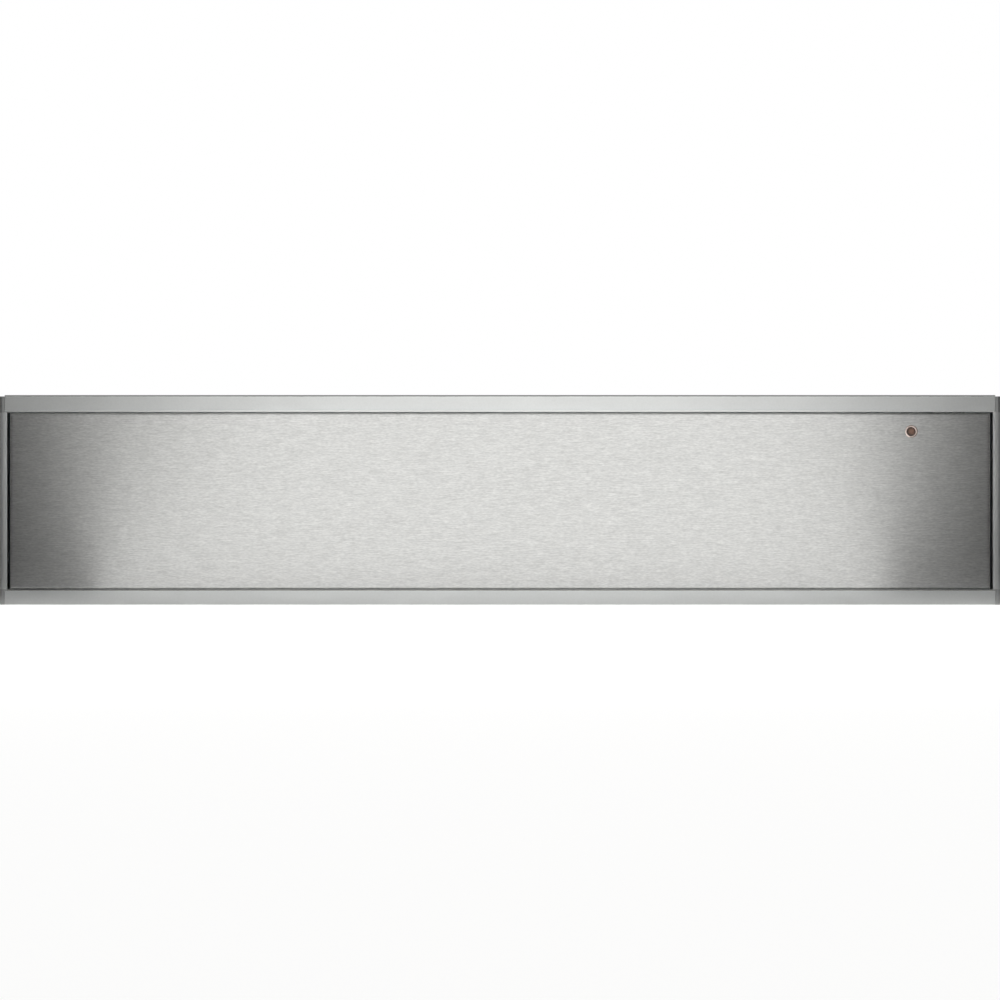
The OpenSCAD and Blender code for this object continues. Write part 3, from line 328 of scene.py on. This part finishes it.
galvanised = spangled("hot_dip_galvanised_sheet", "#C3C8CB", 5, 0.42)
mill_steel = rolled("stainless_304_mill_finish", "#CFD0CE", 0.33, (1.2, 40, 1.2))
plated_rail = rolled("steel_bright_zinc_plated", "#D3D8DE", 0.24, (1.5, 30, 1.5), 0.02)
spring_steel = rolled("spring_steel_bare", "#A9ABAE", 0.3, (1.0, 12, 1.0))
plated_screw = rolled("screws_zinc_plated", "#C9CCD2", 0.3, (0.8, 0.8, 0.8), 0.04)
heater_tube = rolled("incoloy_heat_darkened", "#6E6864", 0.45, (3, 3, 3), 0.12)
motor_can = spangled("motor_can_zinc_plated", "#B4B8BA", 4, 0.4)
print("sheet finishes made")

# %% [markdown]
# ## Plastics, rubber and glass
# Moulded plastic has the fine leathery grain of its mould, half a millimetre across, in a soft
# sheen. Rubber and silicone are duller. The toughened glass under the plates is smoked, and the
# lamp is a clear amber-brown resin that is dark while it is off. Its colour is painted lighter in
# the middle, as painted light where the end of the light guide shows through its dome, and
# painted darker towards the rim, as painted shade at the dome's edge.

# %% Finishes: plastics, rubber and glass
def moulded(name, hex_colour, roughness, grain_mm=0.5, depth_mm=0.02):
    material, tree, shader = new_finish(name, hex_colour, Roughness=roughness, IOR=1.5)
    bump(tree, shader, grain(tree, (grain_mm, grain_mm, grain_mm)), depth_mm)
    shade(tree, shader, [spread(tree, grain(tree, (14, 14, 14)), 0.96, 1.04)], hex_colour)
    return material


black_plastic = moulded("pbt_black_moulded", "#232426", 0.48)
knob_plastic = moulded("abs_grey_moulded", "#5B5E61", 0.42, 0.35)
white_plastic = moulded("pa66_natural_white", "#DCDBD4", 0.5)
black_rubber = moulded("rubber_black", "#1D1D1E", 0.8, 0.8, 0.04)
grey_silicone = moulded("silicone_grey", "#5F6264", 0.65, 0.9)
wire_white = moulded("silicone_wire_white", "#DEDAD0", 0.5)
circuit_green = moulded("circuit_board_green", "#1E5A34", 0.35)
fibre_board = moulded("core_fibre_board", "#A98F68", 0.85, 1.5, 0.05)

smoked_glass, tree, shader = new_finish(
    "soda_lime_glass_smoked", "#6F7472", Roughness=0.02, IOR=1.52, Transmission_Weight=1.0
)

RESIN_COLOUR = "#523A2D"
CORE_RADIUS, DARK_RADIUS = 0.7 * MM, 2.2 * MM
PAINTED_GLOW_TONE, PAINTED_RIM_SHADE = 1.5, 0.5
amber_resin, tree, shader = new_finish("lamp_resin_amber", RESIN_COLOUR, Roughness=0.3, IOR=1.5)
guide_low, guide_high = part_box("light_guide")
lens_centre = (guide_low + guide_high) / 2
from_centre = vectors(tree, "SUBTRACT", coordinate(tree), tuple(lens_centre))
radius = vectors(tree, "LENGTH", vectors(tree, "MULTIPLY", from_centre, (1, 0, 1)))
# Painted light and shade: the resin's colour is made lighter in the middle and darker towards the
# rim
core = remap(tree, radius, (CORE_RADIUS, DARK_RADIUS), (PAINTED_GLOW_TONE, PAINTED_RIM_SHADE))
shade(tree, shader, [core, spread(tree, grain(tree, (1.5, 1.5, 1.5)), 0.85, 1.2)], RESIN_COLOUR)
print("plastics, rubber and glass made")

# %% [markdown]
# ## Dressing the construction
# Each part's record names the material slot that it is made of. One table says which finish each
# slot gets, and a loop puts it on. The folded and machined edges of real sheet are never
# razor-sharp, and a small bevel on each edge catches the light. The parts' meshes are loose
# triangles, so a Weld joins them before the Bevel, which then works on the sharp edges alone.

# %% Put the finishes on the parts
FINISHES = {
    "stainless_brushed": brushed_steel,
    "stainless_sheet": mill_steel,
    "aluminium_satin": anodised,
    "galvanised_sheet": galvanised,
    "zinc_runner": plated_rail,
    "cage_steel": spring_steel,
    "smoked_glass": smoked_glass,
    "black_plastic": black_plastic,
    "grey_knob": knob_plastic,
    "white_plastic": white_plastic,
    "amber_lens": amber_resin,
    "rubber_black": black_rubber,
    "silicone_grey": grey_silicone,
    "core_board": fibre_board,
    "heater_steel": heater_tube,
    "motor_steel": motor_can,
    "circuit_green": circuit_green,
    "lead_insulation": wire_white,
    "fastener_zinc": plated_screw,
}
EDGE_MM = {
    "frame_top_trim": 0.12,
    "frame_bottom_trim": 0.12,
    "frame_left_trim": 0.3,
    "frame_right_trim": 0.3,
    "glass_base_plate": 0.6,
    "temperature_knob": 0.5,
    "power_module_case": 0.8,
    "power_module_cover": 0.6,
    "mains_inlet": 0.5,
    "latch_housing": 0.6,
    "control_bezel": 0.5,
}
SAME_POINT = 0.01 * MM
SHARP = math.radians(30)


def soften(piece, edge_mm):
    weld = piece.modifiers.new("join", "WELD")
    weld.merge_threshold = SAME_POINT
    bevel = piece.modifiers.new("soft_edges", "BEVEL")
    bevel.width = edge_mm * MM
    bevel.segments = 3
    bevel.limit_method = "ANGLE"
    bevel.angle_limit = SHARP
    bevel.harden_normals = False
    flat = piece.modifiers.new("flat_faces", "WEIGHTED_NORMAL")
    flat.mode = "FACE_AREA"
    flat.weight = 100
    flat.keep_sharp = False


for entry in frame["record"]["subparts"]:
    part = parts[entry["node"]]
    part.data.materials.clear()
    part.data.materials.append(FINISHES[entry["material_slot"]])
    if entry["node"] in EDGE_MM:
        soften(part, EDGE_MM[entry["node"]])

# %% [markdown]
# ## The pressed ring of the lamp
# The photograph shows a thin pale ring round the brown lamp. On the real front it is the lip that
# the punch leaves round the hole. Its soft copper tint is a painted reflection of the lamp's resin
# beside it. A small profile spun once round the lamp's axis makes such a ring. The spin merges its
# last step with its first, so that the ring is closed. Two kinds of turned shape come up in this
# lesson: a closed profile makes a ring or a coil, and an open one that starts on the axis makes a
# head or a disc.

# %% Helpers for shapes, and the lamp's ring
FULL_TURN = 2 * math.pi
RING_STEPS, LATHE_STEPS = 64, 20
SAME_CORNER = 0.001 * MM


def place_piece(name, shape, finish, body):
    mesh = bpy.data.meshes.new(name)
    shape.to_mesh(mesh)
    shape.free()
    mesh.materials.append(finish)
    piece = bpy.data.objects.new(name, mesh)
    bpy.context.scene.collection.objects.link(piece)
    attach(piece, body)
    return piece


def spun(profile, axis, steps, angle=FULL_TURN, climb=(0, 0, 0)):
    closed = not any(climb)
    shape = bmesh.new()
    corners = [shape.verts.new(point) for point in profile]
    edges = [shape.edges.new(pair) for pair in zip(corners, corners[1:] + corners[:1])]
    bmesh.ops.spin(
        shape, geom=corners + edges, cent=(0, 0, 0), axis=axis, dvec=climb,
        angle=angle, steps=steps, use_merge=closed,
    )
    if not closed:
        open_ends = [edge for edge in shape.edges if edge.is_boundary]
        bmesh.ops.holes_fill(shape, edges=open_ends, sides=0)
    bmesh.ops.recalc_face_normals(shape, faces=shape.faces)
    return shape


def lathe(outline, axis):
    shape = bmesh.new()
    corners = [shape.verts.new(point) for point in outline]
    edges = [shape.edges.new(pair) for pair in zip(corners, corners[1:])]
    bmesh.ops.spin(
        shape, geom=corners + edges, cent=(0, 0, 0), axis=axis,
        angle=FULL_TURN, steps=LATHE_STEPS, use_merge=True,
    )
    bmesh.ops.remove_doubles(shape, verts=shape.verts, dist=SAME_CORNER)
    return shape


def set_on(shape, turned, axis, place, outwards):
    bmesh.ops.recalc_face_normals(turned, faces=turned.faces)
    turn = Vector(axis).rotation_difference(Vector(outwards)).to_matrix().to_4x4()
    bmesh.ops.transform(turned, matrix=Matrix.Translation(place) @ turn, verts=turned.verts)
    mesh = bpy.data.meshes.new("turned")
    turned.to_mesh(mesh)
    turned.free()
    shape.from_mesh(mesh)
    bpy.data.meshes.remove(mesh)


def smooth(shape):
    for face in shape.faces:
        face.smooth = True


LAMP_X, LAMP_Z = 243.1 * MM, 102.5 * MM
PANEL_Y = front_y + 0.5 * MM
RING_INNER, RING_OUTER = 2.45 * MM, 3.7 * MM
RING_HIGH, RING_DEEP, RING_EDGE = 0.22 * MM, 0.3 * MM, 0.2 * MM
SHOULDER = 0.8
ring_profile = [
    (RING_INNER, RING_DEEP, 0),
    (RING_OUTER, RING_DEEP, 0),
    (RING_OUTER, 0, 0),
    (RING_OUTER - RING_EDGE, -RING_HIGH * SHOULDER, 0),
    ((RING_INNER + RING_OUTER) / 2, -RING_HIGH, 0),
    (RING_INNER + RING_EDGE, -RING_HIGH * SHOULDER, 0),
    (RING_INNER, 0, 0),
]
ring_shape = spun(ring_profile, (0, 1, 0), RING_STEPS)
smooth(ring_shape)
bmesh.ops.translate(ring_shape, verts=ring_shape.verts, vec=(LAMP_X, PANEL_Y, LAMP_Z))
# The lip's copper tint is a painted reflection of the amber resin beside it
lip_painted_resin_tint, tree, shader = new_finish(
    "stainless_pressed_lip", "#D5C4BB", Metallic=1.0, Roughness=0.4
)
tree.links.new(spread(tree, grain(tree, (0.6, 0.6, 0.6)), 0.3, 0.42), shader.inputs["Roughness"])
lamp_ring = place_piece("lamp_ring", ring_shape, lip_painted_resin_tint, "drawer")
print("lamp ring", len(lamp_ring.data.polygons), "faces")

# %% [markdown]
# ## The dial in the recess
# Behind the closed front, on the right, a knob sets the temperature. The floor of its recess has
# pad-printed figures from 0 to 4, sixty degrees apart, and the knob's groove is filled with
# white. Ink is a film of a few hundredths of a millimetre. Text is a curve in Blender, so each
# figure is turned into a mesh before it gets its place.

# %% Figures, marks and pointer
KNOB_X, KNOB_Z = 256.5 * MM, 82 * MM
RECESS_FLOOR_Y, KNOB_FRONT_Y = -235.5 * MM, -250 * MM
FIGURES, FIGURE_TURN = 5, math.radians(60)
FIGURE_SIZE, FIGURE_RADIUS = 3.1 * MM, 15.7 * MM
MARK_RADIUS, MARK_WIDE, MARK_LONG = 13.8 * MM, 0.35 * MM, 0.9 * MM
POINTER_SIZE = (0.92 * MM, 0.6 * MM, 7.4 * MM)
POINTER_UP, POINTER_SUNK, POINTER_EDGE = 6.2 * MM, 0.45 * MM, 0.12 * MM
INK = 0.04 * MM
INK_COLOUR = "#E9E9E6"
print_ink, tree, shader = new_finish("pad_print_white", INK_COLOUR, Roughness=0.55)
shade(tree, shader, [spread(tree, grain(tree, (0.8, 0.8, 0.8)), 0.94, 1.03)], INK_COLOUR)
knob_centre = Vector((KNOB_X, RECESS_FLOOR_Y - INK / 2, KNOB_Z))
dial = bmesh.new()
for figure in range(FIGURES):
    turn = FIGURE_TURN * figure
    outwards = Vector((math.sin(turn), 0, math.cos(turn)))
    text = bpy.data.curves.new(f"figure_{figure}", "FONT")
    text.body = str(figure)
    text.size = FIGURE_SIZE
    text.align_x = "CENTER"
    text.align_y = "CENTER"
    text.extrude = INK / 2
    written = bpy.data.objects.new(f"figure_{figure}", text)
    bpy.context.scene.collection.objects.link(written)
    bpy.context.view_layer.update()
    flat = bpy.data.meshes.new_from_object(written)
    bpy.data.objects.remove(written)
    stand = Matrix.Rotation(math.radians(90), 4, "X")
    flat.transform(Matrix.Translation(knob_centre + outwards * FIGURE_RADIUS) @ stand)
    dial.from_mesh(flat)
    mark = bmesh.ops.create_cube(dial, size=1.0)["verts"]
    bmesh.ops.scale(dial, verts=mark, vec=(MARK_WIDE, INK, MARK_LONG))
    bmesh.ops.rotate(dial, verts=mark, cent=(0, 0, 0), matrix=Matrix.Rotation(turn, 3, "Y"))
    bmesh.ops.translate(dial, verts=mark, vec=knob_centre + outwards * MARK_RADIUS)
place_piece("dial_figures", dial, print_ink, "casing")

pointer = bmesh.new()
bar = bmesh.ops.create_cube(pointer, size=1.0)["verts"]
bmesh.ops.scale(pointer, verts=bar, vec=POINTER_SIZE)
pointer_place = (KNOB_X, KNOB_FRONT_Y + POINTER_SUNK, KNOB_Z + POINTER_UP)
bmesh.ops.translate(pointer, verts=bar, vec=pointer_place)
bmesh.ops.bevel(
    pointer, geom=pointer.edges, offset=POINTER_EDGE, segments=2, profile=0.5, affect="EDGES",
    material=-1,
)
place_piece("knob_pointer", pointer, print_ink, "knob")
print("figures 0 to", FIGURES - 1, "and a pointer")

# %% [markdown]
# ## Real screws for plain heads
# In the construction every screw is a plain disc on a rod. A real one has a domed head with a
# cross recess, and a rivet has a dome. The construction knows where each sits, so this step reads
# the loose solids of the two fastener nodes, finds on each the wide end, and puts a turned head
# there. The finished set stands for the plain one.

# %% Find each fastener's head and shank
SAME_SIZE = 0.2 * MM
SAME_HEIGHT = 0.1 * MM
ON_AXIS = 0.1 * MM
RIM_SHARE, SHANK_SHARE = 0.98, 0.9


def loose_solids(node):
    shape = bmesh.new()
    shape.from_mesh(parts[node].data)
    bmesh.ops.remove_doubles(shape, verts=shape.verts, dist=SAME_POINT)
    left = set(shape.verts)
    found = []
    while left:
        group, waiting = set(), [left.pop()]
        while waiting:
            corner = waiting.pop()
            group.add(corner)
            for edge in corner.link_edges:
                other = edge.other_vert(corner)
                if other in left:
                    left.discard(other)
                    waiting.append(other)
        found.append([corner.co.copy() for corner in group])
    shape.free()
    return found


def box_of(points):
    low = Vector([min(p[i] for p in points) for i in range(3)])
    high = Vector([max(p[i] for p in points) for i in range(3)])
    return low, high


def axis_of(size):
    # Where the head is wider than the whole is long, its two equal sizes lie across the axis.
    # Any other fastener is longest along it.
    across = []
    for i in range(3):
        largest_other = max(size[j] for j in range(3) if j != i)
        if abs(size[i] - largest_other) < SAME_SIZE:
            across.append(i)
    if len(across) == 2:
        return next(i for i in range(3) if i not in across)
    return sorted(range(3), key=lambda i: size[i])[-1]


def fastener(points):
    low, high = box_of(points)
    middle, size = (low + high) / 2, high - low
    along = axis_of(size)
    head_radius = max(size[i] for i in range(3) if i != along) / 2
    axis = Vector([1.0 if i == along else 0.0 for i in range(3)])

    def reach(end):
        near = [p - middle for p in points if abs(p[along] - end[along]) < SAME_HEIGHT]
        return max((p - p[along] * axis).length for p in near)

    if reach(high) < reach(low):
        axis = -axis
    heights = [(p - middle).dot(axis) for p in points]
    radii = [(p - middle - height * axis).length for p, height in zip(points, heights)]
    wide = [height for height, r in zip(heights, radii) if r > head_radius * RIM_SHARE]
    thin = [r for r in radii if ON_AXIS < r < head_radius * SHANK_SHARE]
    seat = middle + axis * min(wide)
    head_height = max(wide) - min(wide)
    shank_radius = max(thin) if thin else head_radius / 2
    shank_length = min(wide) + size[along] / 2
    return seat, axis, head_radius, head_height, shank_radius, shank_length


print("one screw in the casing is", len(loose_solids("casing_screws")[0]), "points")

# %% [markdown]
# The head is turned in one go with its shank. A screw's top stays open at first: its rim and the
# outline of the cross are filled with triangles, and the cross is pushed in, tapering a little
# towards its floor. A rivet's top is just closed. The shares below are of the head's radius and
# height, as on a pan head.

# %% Heads with a cross recess
SHANK_TIP, SHANK_CHAMFER = 0.7, 0.5
HEAD_CURVE = ((1.0, 0.0), (1.0, 0.45), (0.93, 0.75), (0.78, 0.93))
SCREW_TOP, RIVET_TOP = 0.5, 0.25
CROSS_ARM, CROSS_HALF, CROSS_DEEP, CROSS_TAPER = 0.42, 0.11, 0.55, 0.75
RIVET_HIGHEST = 1.2 * MM
UP = (0, 0, 1)


def push_in_cross(head, rim, radius, height):
    arm, half = radius * CROSS_ARM, radius * CROSS_HALF
    cross = [
        (half, half), (arm, half), (arm, -half), (half, -half), (half, -arm), (-half, -arm),
        (-half, -half), (-arm, -half), (-arm, half), (-half, half), (-half, arm), (half, arm),
    ]
    corners = [head.verts.new((x, y, height)) for x, y in cross]
    edges = [head.edges.new(pair) for pair in zip(corners, corners[1:] + corners[:1])]
    bmesh.ops.triangle_fill(head, edges=rim + edges, use_beauty=True)
    walls = bmesh.ops.extrude_edge_only(head, edges=edges)["geom"]
    lower = [v for v in walls if isinstance(v, bmesh.types.BMVert)]
    bmesh.ops.translate(head, verts=lower, vec=(0, 0, -height * CROSS_DEEP))
    taper = (CROSS_TAPER, CROSS_TAPER, 1)
    bmesh.ops.scale(head, verts=lower, vec=taper, space=Matrix.Identity(4))
    floor_edges = [e for e in walls if isinstance(e, bmesh.types.BMEdge)]
    bmesh.ops.contextual_create(head, geom=floor_edges)


def turned_head(shape, seat, axis, radius, height, shank, length):
    is_screw = height > RIVET_HIGHEST
    tip = [(0, -length), (shank * SHANK_TIP, -length), (shank, -length + shank * SHANK_CHAMFER)]
    head_curve = [(radius * across, height * up) for across, up in HEAD_CURVE]
    top = (radius * (SCREW_TOP if is_screw else RIVET_TOP), height)
    outline = tip + [(shank, 0)] + head_curve + [top]
    head = lathe([(r, 0, z) for r, z in outline], UP)
    rim = [e for e in head.edges if e.is_boundary]
    if is_screw:
        push_in_cross(head, rim, radius, height)
    else:
        bmesh.ops.contextual_create(head, geom=rim)
    set_on(shape, head, UP, seat, axis)


for node, body in (("casing_screws", "casing"), ("drawer_screws", "drawer")):
    heads = bmesh.new()
    solids = loose_solids(node)
    for solid in solids:
        turned_head(heads, *fastener(solid))
    piece = place_piece(f"{node}_turned", heads, plated_screw, body)
    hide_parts(node)
    print(node, len(solids), "fasteners")

# %% [markdown]
# ## Round leads
# The wires inside the casing are eight-sided in the construction. A merged copy of each, with its
# triangles joined to quads and two levels of Subdivision Surface, is round. Mains wiring is told
# apart by the colour of its insulation, so each lead takes its own: brown for the live feed,
# red for the fan, white glass-fibre sleeve for the heater and the sensors. Where a face of the
# lead lies tells which lead it belongs to.

# %% Leads
brown_wire = moulded("pvc_wire_brown", "#6B432E", 0.45)
red_wire = moulded("silicone_wire_red", "#8E2F28", 0.5)
WHITE, BROWN, RED = 0, 1, 2
REAR_SPACE_Y, FEED_SIDE_X = 0.2, 0.21
FAN_LEAD_Z, FAN_LEAD_REACH = 80 * MM, 4 * MM


def insulation(node, middle):
    if node != "inner_leads" or middle.y <= REAR_SPACE_Y:
        return WHITE
    if middle.x > FEED_SIDE_X:
        return BROWN
    at_fan = abs(middle.z - FAN_LEAD_Z) < FAN_LEAD_REACH and middle.x < FEED_SIDE_X
    return RED if at_fan else WHITE


def round_leads(node):
    shape = bmesh.new()
    shape.from_mesh(parts[node].data)
    bmesh.ops.remove_doubles(shape, verts=shape.verts, dist=SAME_POINT)
    bmesh.ops.join_triangles(
        shape, faces=shape.faces, angle_face_threshold=0.3, angle_shape_threshold=1.5,
        cmp_seam=False, cmp_sharp=False, cmp_uvs=False, cmp_vcols=False, cmp_materials=False,
    )
    bmesh.ops.recalc_face_normals(shape, faces=shape.faces)
    smooth(shape)
    for face in shape.faces:
        face.material_index = insulation(node, face.calc_center_median())
    piece = place_piece(f"{node}_round", shape, wire_white, "casing")
    piece.data.materials.append(brown_wire)
    piece.data.materials.append(red_wire)
    rounding = piece.modifiers.new("round", "SUBSURF")
    rounding.levels = 2
    rounding.render_levels = 2
    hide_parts(node)
    return piece


for node in ("inner_leads", "control_lead"):
    made = round_leads(node)
    print(made.name, len(made.data.polygons), "faces before rounding")

# %% [markdown]
# ## The spring of the latch
# The construction shows the space that the latch's spring fills. The spring itself is a steel
# wire, wound eight times. A circle spun round the axis while it climbs gives the coil in one
# step. It shortens when the front is pushed.

# %% Coil spring
WIRE_RADIUS = 0.55 * MM
WIRE_SIDES = 8
COILS, STEPS_PER_COIL = 8, 16
END_GAP = 1.1 * WIRE_RADIUS
spring_low, spring_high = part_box("latch_spring")
spring_middle = (spring_low + spring_high) / 2
spring_length = spring_high.y - spring_low.y
coil_radius = (spring_high.x - spring_low.x) / 2 - WIRE_RADIUS
climb = (spring_length - 2 * END_GAP) / (COILS * STEPS_PER_COIL)
corners_of_wire = [FULL_TURN * i / WIRE_SIDES for i in range(WIRE_SIDES)]
wire_circle = [
    (coil_radius + WIRE_RADIUS * math.cos(turn), WIRE_RADIUS * math.sin(turn), 0)
    for turn in corners_of_wire
]
steps = COILS * STEPS_PER_COIL
coil = spun(wire_circle, (0, 1, 0), steps, FULL_TURN * COILS, (0, climb, 0))
smooth(coil)
coil_place = (spring_middle.x, spring_low.y + END_GAP, spring_middle.z)
bmesh.ops.translate(coil, verts=coil.verts, vec=coil_place)
spring_piece = place_piece("latch_spring_coil", coil, spring_steel, "casing")
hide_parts("latch_spring")
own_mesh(spring_piece)
print("spring of", COILS, "coils,", round(spring_length / MM, 1), "mm long")

# %% [markdown]
# ## Beads and spot welds on the casing
# A large flat sheet drums, so a press gives the cover three long shallow beads, 0.8 mm high with
# rounded ends. The sheets are joined by spot welds, each of which leaves a round dimple with a
# slightly raised rim. Both are thin, but they are what makes a sheet-metal box look made. A bead
# is a flat round-ended strip whose edges are bevelled down, and a weld is a small turned disc.

# %% Beads on the cover
BEAD_HIGH, BEAD_HALF_WIDTH, BEAD_EDGE, BEAD_SUNK = 0.8 * MM, 6 * MM, 1.6 * MM, 0.1 * MM
BEAD_PLACES = (-0.14, 0.0, 0.14)
BEAD_BACK, BEAD_FRONT = 0.135, -0.175
cover_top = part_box("casing_top_cover")[1].z
beads = bmesh.new()
for centre_x in BEAD_PLACES:
    end = bmesh.ops.create_circle(beads, cap_ends=True, radius=BEAD_HALF_WIDTH, segments=32)
    for corner in end["verts"]:
        corner.co.y += BEAD_BACK if corner.co.y > 0 else BEAD_FRONT
    bmesh.ops.translate(beads, verts=end["verts"], vec=(centre_x, 0, cover_top - BEAD_SUNK))
tops = bmesh.ops.extrude_face_region(beads, geom=list(beads.faces))["geom"]
top_corners = [v for v in tops if isinstance(v, bmesh.types.BMVert)]
bmesh.ops.translate(beads, verts=top_corners, vec=(0, 0, BEAD_HIGH + BEAD_SUNK))
bmesh.ops.recalc_face_normals(beads, faces=beads.faces)
rims = [edge for edge in beads.edges if set(edge.verts) <= set(top_corners)]
bmesh.ops.bevel(
    beads, geom=rims, offset=BEAD_EDGE, segments=5, profile=0.5, affect="EDGES", material=-1
)
smooth(beads)
place_piece("cover_beads", beads, galvanised, "casing")
print(len(BEAD_PLACES), "beads", round(BEAD_HIGH / MM, 1), "mm high")

# %% Spot welds along the walls
WELD_ROWS, WELD_FIRST_Y, WELD_STEP = 8, -0.225, 0.065
WELD_HEIGHTS = (8 * MM, 116.5 * MM)
WELD_PROFILE_MM = ((0, -0.1), (2.4, -0.1), (2.4, 0.01), (2.05, 0.1), (1.6, 0.02), (0, 0.03))
weld_outline = [(across * MM, out * MM, 0) for across, out in WELD_PROFILE_MM]
wall_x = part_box("casing_right_wall")[1].x
welds = bmesh.new()
for row in range(WELD_ROWS):
    y = WELD_FIRST_Y + WELD_STEP * row
    for side in (-1, 1):
        for z in WELD_HEIGHTS:
            spot = lathe(weld_outline, (0, 1, 0))
            smooth(spot)
            set_on(welds, spot, (0, 1, 0), (side * wall_x, y, z), (side, 0, 0))
place_piece("spot_welds", welds, galvanised, "casing")
print(WELD_ROWS * 2 * len(WELD_HEIGHTS), "spot welds")

# %% [markdown]
# ## The studio
# Polished metal shows its surroundings more than its own colour. The photographer's set here is
# a white room, brightest behind the camera and dimmer overhead and to the sides. In front of each
# end of the drawer a black flag stands, a second one lies on the floor and a third is a roof over
# them: between the two groups the steel sees white, and towards its ends it sees black, which
# gives the front its dark ends. A narrow grey card on the floor dims what the bottom edge mirrors.
# Flags and card touch reflections only. They cast no shadow, no camera sees them, and they go
# with the drawer when it opens.

# %% Room and floor
AMBIENT = 0.5
ZENITH, ZENITH_FROM = 0.4, 0.35
SIDES, SIDES_FROM = 0.65, -0.8
world = bpy.data.worlds.new("white_room")
world.use_nodes = True
bpy.context.scene.world = world
tree = world.node_tree
tree.nodes.clear()
ray = add(tree, "ShaderNodeLightPath").outputs
way = split(tree, coordinate(tree, "Generated"))
overhead = remap(tree, way["Z"], (ZENITH_FROM, 1.0), (1.0, ZENITH))
sideways = remap(tree, way["Y"], (SIDES_FROM, 0.0), (1.0, SIDES))
mirrored = maths(tree, "MULTIPLY", overhead, sideways)
unseen = remap(tree, ray["Is Glossy Ray"], after=(AMBIENT, mirrored))
seen = maths(tree, "MAXIMUM", ray["Is Camera Ray"], ray["Is Transmission Ray"])
level = remap(tree, seen, after=(unseen, 1.0))
room = add(tree, "ShaderNodeBackground", {"Color": (1, 1, 1, 1), "Strength": level})
add(tree, "ShaderNodeOutputWorld", {"Surface": room.outputs["Background"]})


def stage_plane(name, corners, material):
    shape = bmesh.new()
    shape.faces.new([shape.verts.new(corner) for corner in corners])
    mesh = bpy.data.meshes.new(name)
    shape.to_mesh(mesh)
    shape.free()
    mesh.materials.append(material)
    plane = bpy.data.objects.new(name, mesh)
    bpy.context.scene.collection.objects.link(plane)
    return plane


FLOOR_HALF = 12
FLOOR_LIFT = 0.5
floor_paint, tree, shader = new_finish("floor_matt_white", "#F4F4F3", Roughness=0.9)
ray = add(tree, "ShaderNodeLightPath").outputs
lifted = maths(tree, "MAXIMUM", ray["Is Camera Ray"], ray["Is Glossy Ray"])
shader.inputs["Emission Color"].default_value = (1, 1, 1, 1)
glow = maths(tree, "MULTIPLY", lifted, FLOOR_LIFT)
tree.links.new(glow, shader.inputs["Emission Strength"])
quarters = ((-1, -1), (1, -1), (1, 1), (-1, 1))
floor_corners = [(x * FLOOR_HALF, y * FLOOR_HALF, 0) for x, y in quarters]
stage_plane("floor", floor_corners, floor_paint)
print("white room and floor")

# %% Flags and card
FLAG_DISTANCE, FLAG_OUTER, FLAG_HEIGHT, ROOF_DEPTH = 0.22, 0.8, 0.18, 0.2
FLAG_NEAR, FLOOR_GAP = 0.01, 0.001
# Distance from the middle to each flag: standing, lying on the floor, and roof
LEFT_GAPS = (0.266, 0.239, 0.175)
RIGHT_GAPS = (0.272, 0.230, 0.225)
CARD_HALF, CARD_DEPTH, CARD_UNDER, CARD_Z = 0.32, 0.022, 0.01, 0.0002
flag_cloth, tree, shader = new_finish("flag_black_cloth", "#0A0A0A", Roughness=1.0)
card_grey, tree, shader = new_finish("card_grey", "#D8D8D8", Roughness=1.0)


def reflector(name, x0, x1, y0, z0, y1, z1, material):
    corners = [(x0, y0, z0), (x1, y0, z0), (x1, y1, z1), (x0, y1, z1)]
    plane = stage_plane(name, corners, material)
    plane.visible_camera = False
    plane.visible_diffuse = False
    plane.visible_shadow = False
    plane.visible_transmission = False
    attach(plane, "drawer")


far, near = front_y - FLAG_DISTANCE, front_y - FLAG_NEAR
roof_y = far + ROOF_DEPTH
for name, side, gaps in (("left", -1, LEFT_GAPS), ("right", 1, RIGHT_GAPS)):
    outer = side * FLAG_OUTER
    stand, lie, roof = [side * gap for gap in gaps]
    for kind, inner, shape in (
        ("standing", stand, (far, FLOOR_GAP, far, FLAG_HEIGHT)),
        ("lying", lie, (near, FLOOR_GAP, far, FLOOR_GAP)),
        ("roof", roof, (far, FLAG_HEIGHT, roof_y, FLAG_HEIGHT)),
    ):
        reflector(f"flag_{name}_{kind}", inner, outer, *shape, flag_cloth)
card_near, card_far = front_y + CARD_UNDER, front_y - CARD_DEPTH
reflector("card", -CARD_HALF, CARD_HALF, card_near, CARD_Z, card_far, CARD_Z, card_grey)
print("six flags and a card")

# %% [markdown]
# ## The lamps
# Four large soft lamps light what isn't metal: one over the front, one from each side and one
# from behind. They are weak and wide, so the shadow on the floor is a faint pool. The metal
# doesn't see them, because it already has the white room to reflect.

# %% Lamps
AIM = Vector((0, 0, 0.05))
LAMPS = {
    "lamp_over_front": ((0, -1.6, 1.8), 1.6, 26),
    "lamp_left": ((-2.0, -0.8, 1.2), 1.4, 16),
    "lamp_right": ((2.0, -0.6, 1.2), 1.4, 16),
    "lamp_behind": ((0.3, 2.0, 1.6), 1.4, 16),
}
for name, (place, size, watts) in LAMPS.items():
    lamp = bpy.data.lights.new(name, "AREA")
    lamp.shape = "SQUARE"
    lamp.size = size
    lamp.energy = watts
    made = bpy.data.objects.new(name, lamp)
    made.location = place
    made.rotation_mode = "QUATERNION"
    made.rotation_quaternion = (AIM - Vector(place)).to_track_quat("-Z", "Y")
    made.visible_camera = False
    made.visible_glossy = False
    bpy.context.scene.collection.objects.link(made)
print(len(LAMPS), "soft lamps")
